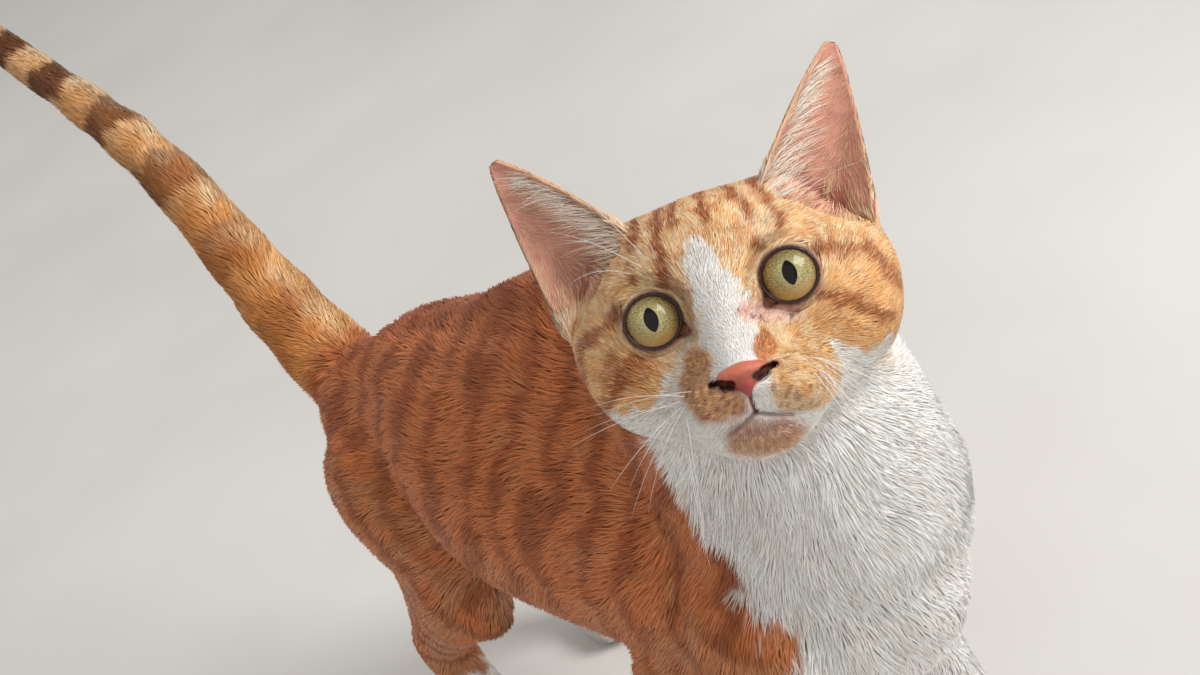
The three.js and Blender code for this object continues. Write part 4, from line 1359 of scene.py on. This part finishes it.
bm = bmesh.new()
bmesh.ops.create_icosphere(bm, subdivisions=6, radius=1)
rays = np.array([v.co for v in bm.verts])
low = np.zeros(len(rays))
search = np.linspace(0, NOSE_REACH, SEARCH_STEPS)
for distance in search[::-1]:
    low = np.where((low == 0) & inside_nose(distance), distance, low)
high = low + search[1]
for _ in range(HALVINGS):
    half_way = (low + high) / 2
    inside = inside_nose(half_way)
    low, high = np.where(inside, half_way, low), np.where(inside, high, half_way)
nose_points = NOSE_HEART + rays * np.maximum(low, NOSE_LEAST)[:, None]
nose_mesh = shaped("nose_leather", bm, from_head(nose_points))
leather_colour = over(LEATHER_TOP, LEATHER_BOTTOM, smooth(-19.5, -25.5, nose_points[:, 2]))
# The nostril hollows of the leather are painted dark: painted shade.
leather_colour = over(leather_colour, NOSTRIL_SHADE, 1 - smooth(0.05, 0.6, nostrils(nose_points)))
paint(nose_mesh, "leather_colour", leather_colour)

# Nose leather: bare pink skin, darker lower down, blotched where blood shows through and lightly moist. It
# is covered by a net of small cells, each about 0.4 mm across.
leather, tree, shader = material("nose_leather", Roughness=0.42, Coat_Weight=0.06, Coat_Roughness=0.35)
blotches = {"Vector": in_millimetres(tree), "Scale": 1 / LEATHER_BLOT, "Detail": 4}
blotches = node(tree, "ShaderNodeTexNoise", blotches)
level = node(tree, "ShaderNodeMapRange", {"Value": blotches, "To Min": 0.7, "To Max": 1.3})
painted = node(tree, "ShaderNodeAttribute", attribute_name="leather_colour")
shade = node(tree, "ShaderNodeVectorMath", {0: painted, "Scale": level}, operation="SCALE")
cells = {"Vector": in_millimetres(tree), "Scale": 1 / LEATHER_CELL}
cells = node(tree, "ShaderNodeTexVoronoi", cells, feature="DISTANCE_TO_EDGE")
bump = node(tree, "ShaderNodeBump", {"Height": cells, "Strength": 0.5, "Distance": CELL_DEPTH})
connect(shader, {"Base Color": shade, "Normal": bump})
add_piece("nose_leather", nose_mesh, leather, "nose_leather", "nose")

# ---- Whiskers ----
# Stiff white hairs, rooted deep in the skin, stand in rows on each pad of the lip and hang down at their
# thin ends. A few more grow over each eye.

DOWN = HEAD_AXES @ np.array((0, 0, -1.0))
WHISKER_STEPS, WHISKER_SIDES = 14, 5
WHISKER_RADIUS, BROW_RADIUS = 0.14, 0.11  # at their roots
TAPER = 0.85  # the part of its thickness that a whisker has lost at its tip
IN_ROW = 4
# For each row of a pad, from the top: the way its whiskers leave the lip, their length and their droop.
PAD_ROWS = {
    1: [((0.75, 0.1, -0.5), 27, 9), ((0.5, 0.1, -0.8), 26, 8), ((0.2, 0.05, -0.95), 22, 5)],
    -1: [((-1, 0.1, 0.2), 36, 7), ((-0.8, 0.05, -0.45), 34, 9), ((-0.15, -0.05, -1), 38, 3)],
}
BROW_LENGTH, BROW_DROOP = (26, 42), (6, 16)
WHISKER_TINT = 6.667

face_search = BVHTree.FromPolygons(to_head(points).tolist(), triangles.tolist())


def whisker(start, way_off, length, droop, radius):
    start = np.array(face_search.find_nearest(start)[0])
    t = np.linspace(0, 1, WHISKER_STEPS)
    path = start + np.multiply.outer(t * length, unit(np.array(way_off, float)))
    path = path + np.multiply.outer(t**2 * droop, DOWN)
    return tube(path, radius * (1 - TAPER * t), WHISKER_SIDES)


tubes = []
for s, rows in PAD_ROWS.items():
    for row, (out, length, droop) in enumerate(rows):
        for place in range(IN_ROW):
            start = (s * (15 + 2.8 * place + row), -12 + 2 * place, -21.5 - 2.8 * row - 0.5 * place)
            way_off = np.array(out) + (0, 0.1 * place, 0) + 0.1 * random.normal(size=3)
            reach = length * random.uniform(0.8, 1.1)
            sag = droop * random.uniform(0.6, 1.4)
            tubes.append(whisker(start, way_off, reach, sag, WHISKER_RADIUS))
    for place in range(IN_ROW):
        start = (s * (12 + 3 * place), 2, 14 + 1.2 * math.sin(place))
        out = (s * (0.1 + 0.22 * place), -0.45, 0.9 - 0.12 * place)
        reach = random.uniform(*BROW_LENGTH)
        sag = random.uniform(*BROW_DROOP)
        tubes.append(whisker(start, out, reach, sag, BROW_RADIUS))

# Thick white hair, smooth and a little glossy, with tints along it several millimetres long.
bristle, tree, shader = material("whisker", Roughness=0.3)
tint = node(tree, "ShaderNodeTexNoise", {"Vector": in_millimetres(tree), "Scale": 1 / WHISKER_TINT})
stops = [(0.3, linear("ddd8cf")), (0.7, linear("f6f3ee"))]
connect(shader, {"Base Color": node(tree, "ShaderNodeValToRGB", {"Fac": tint}, stops=stops)})
add_piece("whiskers", tube_mesh("whiskers", tubes), bristle, "coat_white")

# ---- Floor ----
# The cat stands on a wide floor of pale plaster, which is only there for the light.

FLOOR_HALF = 6  # metres
PLASTER_CLOUD = 250  # millimetres

floor_mesh = bpy.data.meshes.new("floor")
corners = [(x * FLOOR_HALF, y * FLOOR_HALF, 0) for x, y in ((-1, -1), (1, -1), (1, 1), (-1, 1))]
floor_mesh.from_pydata(corners, [], [(0, 1, 2, 3)])
floor = bpy.data.objects.new("floor", floor_mesh)
bpy.context.scene.collection.objects.link(floor)
# Trowelled plaster is matt, with soft clouds a hand's breadth or two across.
plaster, tree, shader = material("plaster", Roughness=0.8)
clouds = {"Vector": in_millimetres(tree), "Scale": 1 / PLASTER_CLOUD, "Detail": 3}
clouds = node(tree, "ShaderNodeTexNoise", clouds)
stops = [(0.3, linear("dcd9d4")), (0.7, linear("e6e4e0"))]
connect(shader, {"Base Color": node(tree, "ShaderNodeValToRGB", {"Fac": clouds}, stops=stops)})
floor_mesh.materials.append(plaster)

# ---- Camera and lights ----
# The cat looks up at whoever stands before it, a little to its right, and the view is tilted. Daylight
# comes from a window on its left, with a broad fill from the other side and a weak light from behind.

CAMERA_FROM_HEAD = (-247.1, -354.1, 259.0)
CAMERA_TURN, CAMERA_DOWN, CAMERA_ROLL = 30.31, 30.31, -28.55
LENS = 54.1
NEAR_LIMIT = 0.01
LIGHTS_AIM = (0, -0.1, 0.2)
LIGHTS = {  # place in metres, size in metres, power in watts
    "window": ((0.9, -1.3, 1.5), 1.1, 35),
    "fill": ((-1.6, -0.9, 1.2), 3.2, 9),
    "back": ((-0.3, 1.6, 1.6), 1.4, 6),
}
ROOM_COLOUR, ROOM_STRENGTH = (1.0, 0.97, 0.94, 1), 0.4

turn, down, roll = (math.radians(a) for a in (CAMERA_TURN, CAMERA_DOWN, CAMERA_ROLL))
ahead = Vector((math.sin(turn) * math.cos(down), math.cos(turn) * math.cos(down), -math.sin(down)))
level = Vector((math.cos(turn), -math.sin(turn), 0))
right = math.cos(roll) * level + math.sin(roll) * level.cross(ahead)
top = right.cross(ahead)
camera_data = bpy.data.cameras.new("camera")
camera_data.lens = LENS
camera_data.clip_start = NEAR_LIMIT
camera = bpy.data.objects.new("camera", camera_data)
camera.matrix_world = Matrix([right, top, -ahead]).transposed().to_4x4()
camera.location = Vector((HEAD_AT + CAMERA_FROM_HEAD) * MM)
bpy.context.scene.collection.objects.link(camera)
bpy.context.scene.camera = camera

for name, (place, size, power) in LIGHTS.items():
    light = bpy.data.lights.new(name, "AREA")
    light.size = size
    light.energy = power
    lamp = bpy.data.objects.new(name, light)
    lamp.location = place
    lamp.rotation_euler = (Vector(LIGHTS_AIM) - Vector(place)).to_track_quat("-Z", "Y").to_euler()
    bpy.context.scene.collection.objects.link(lamp)

world = bpy.data.worlds.new("room")
world.use_nodes = True
connect(world.node_tree.nodes["Background"], {"Color": ROOM_COLOUR, "Strength": ROOM_STRENGTH})
bpy.context.scene.world = world
bpy.context.scene.view_settings.view_transform = "Standard"
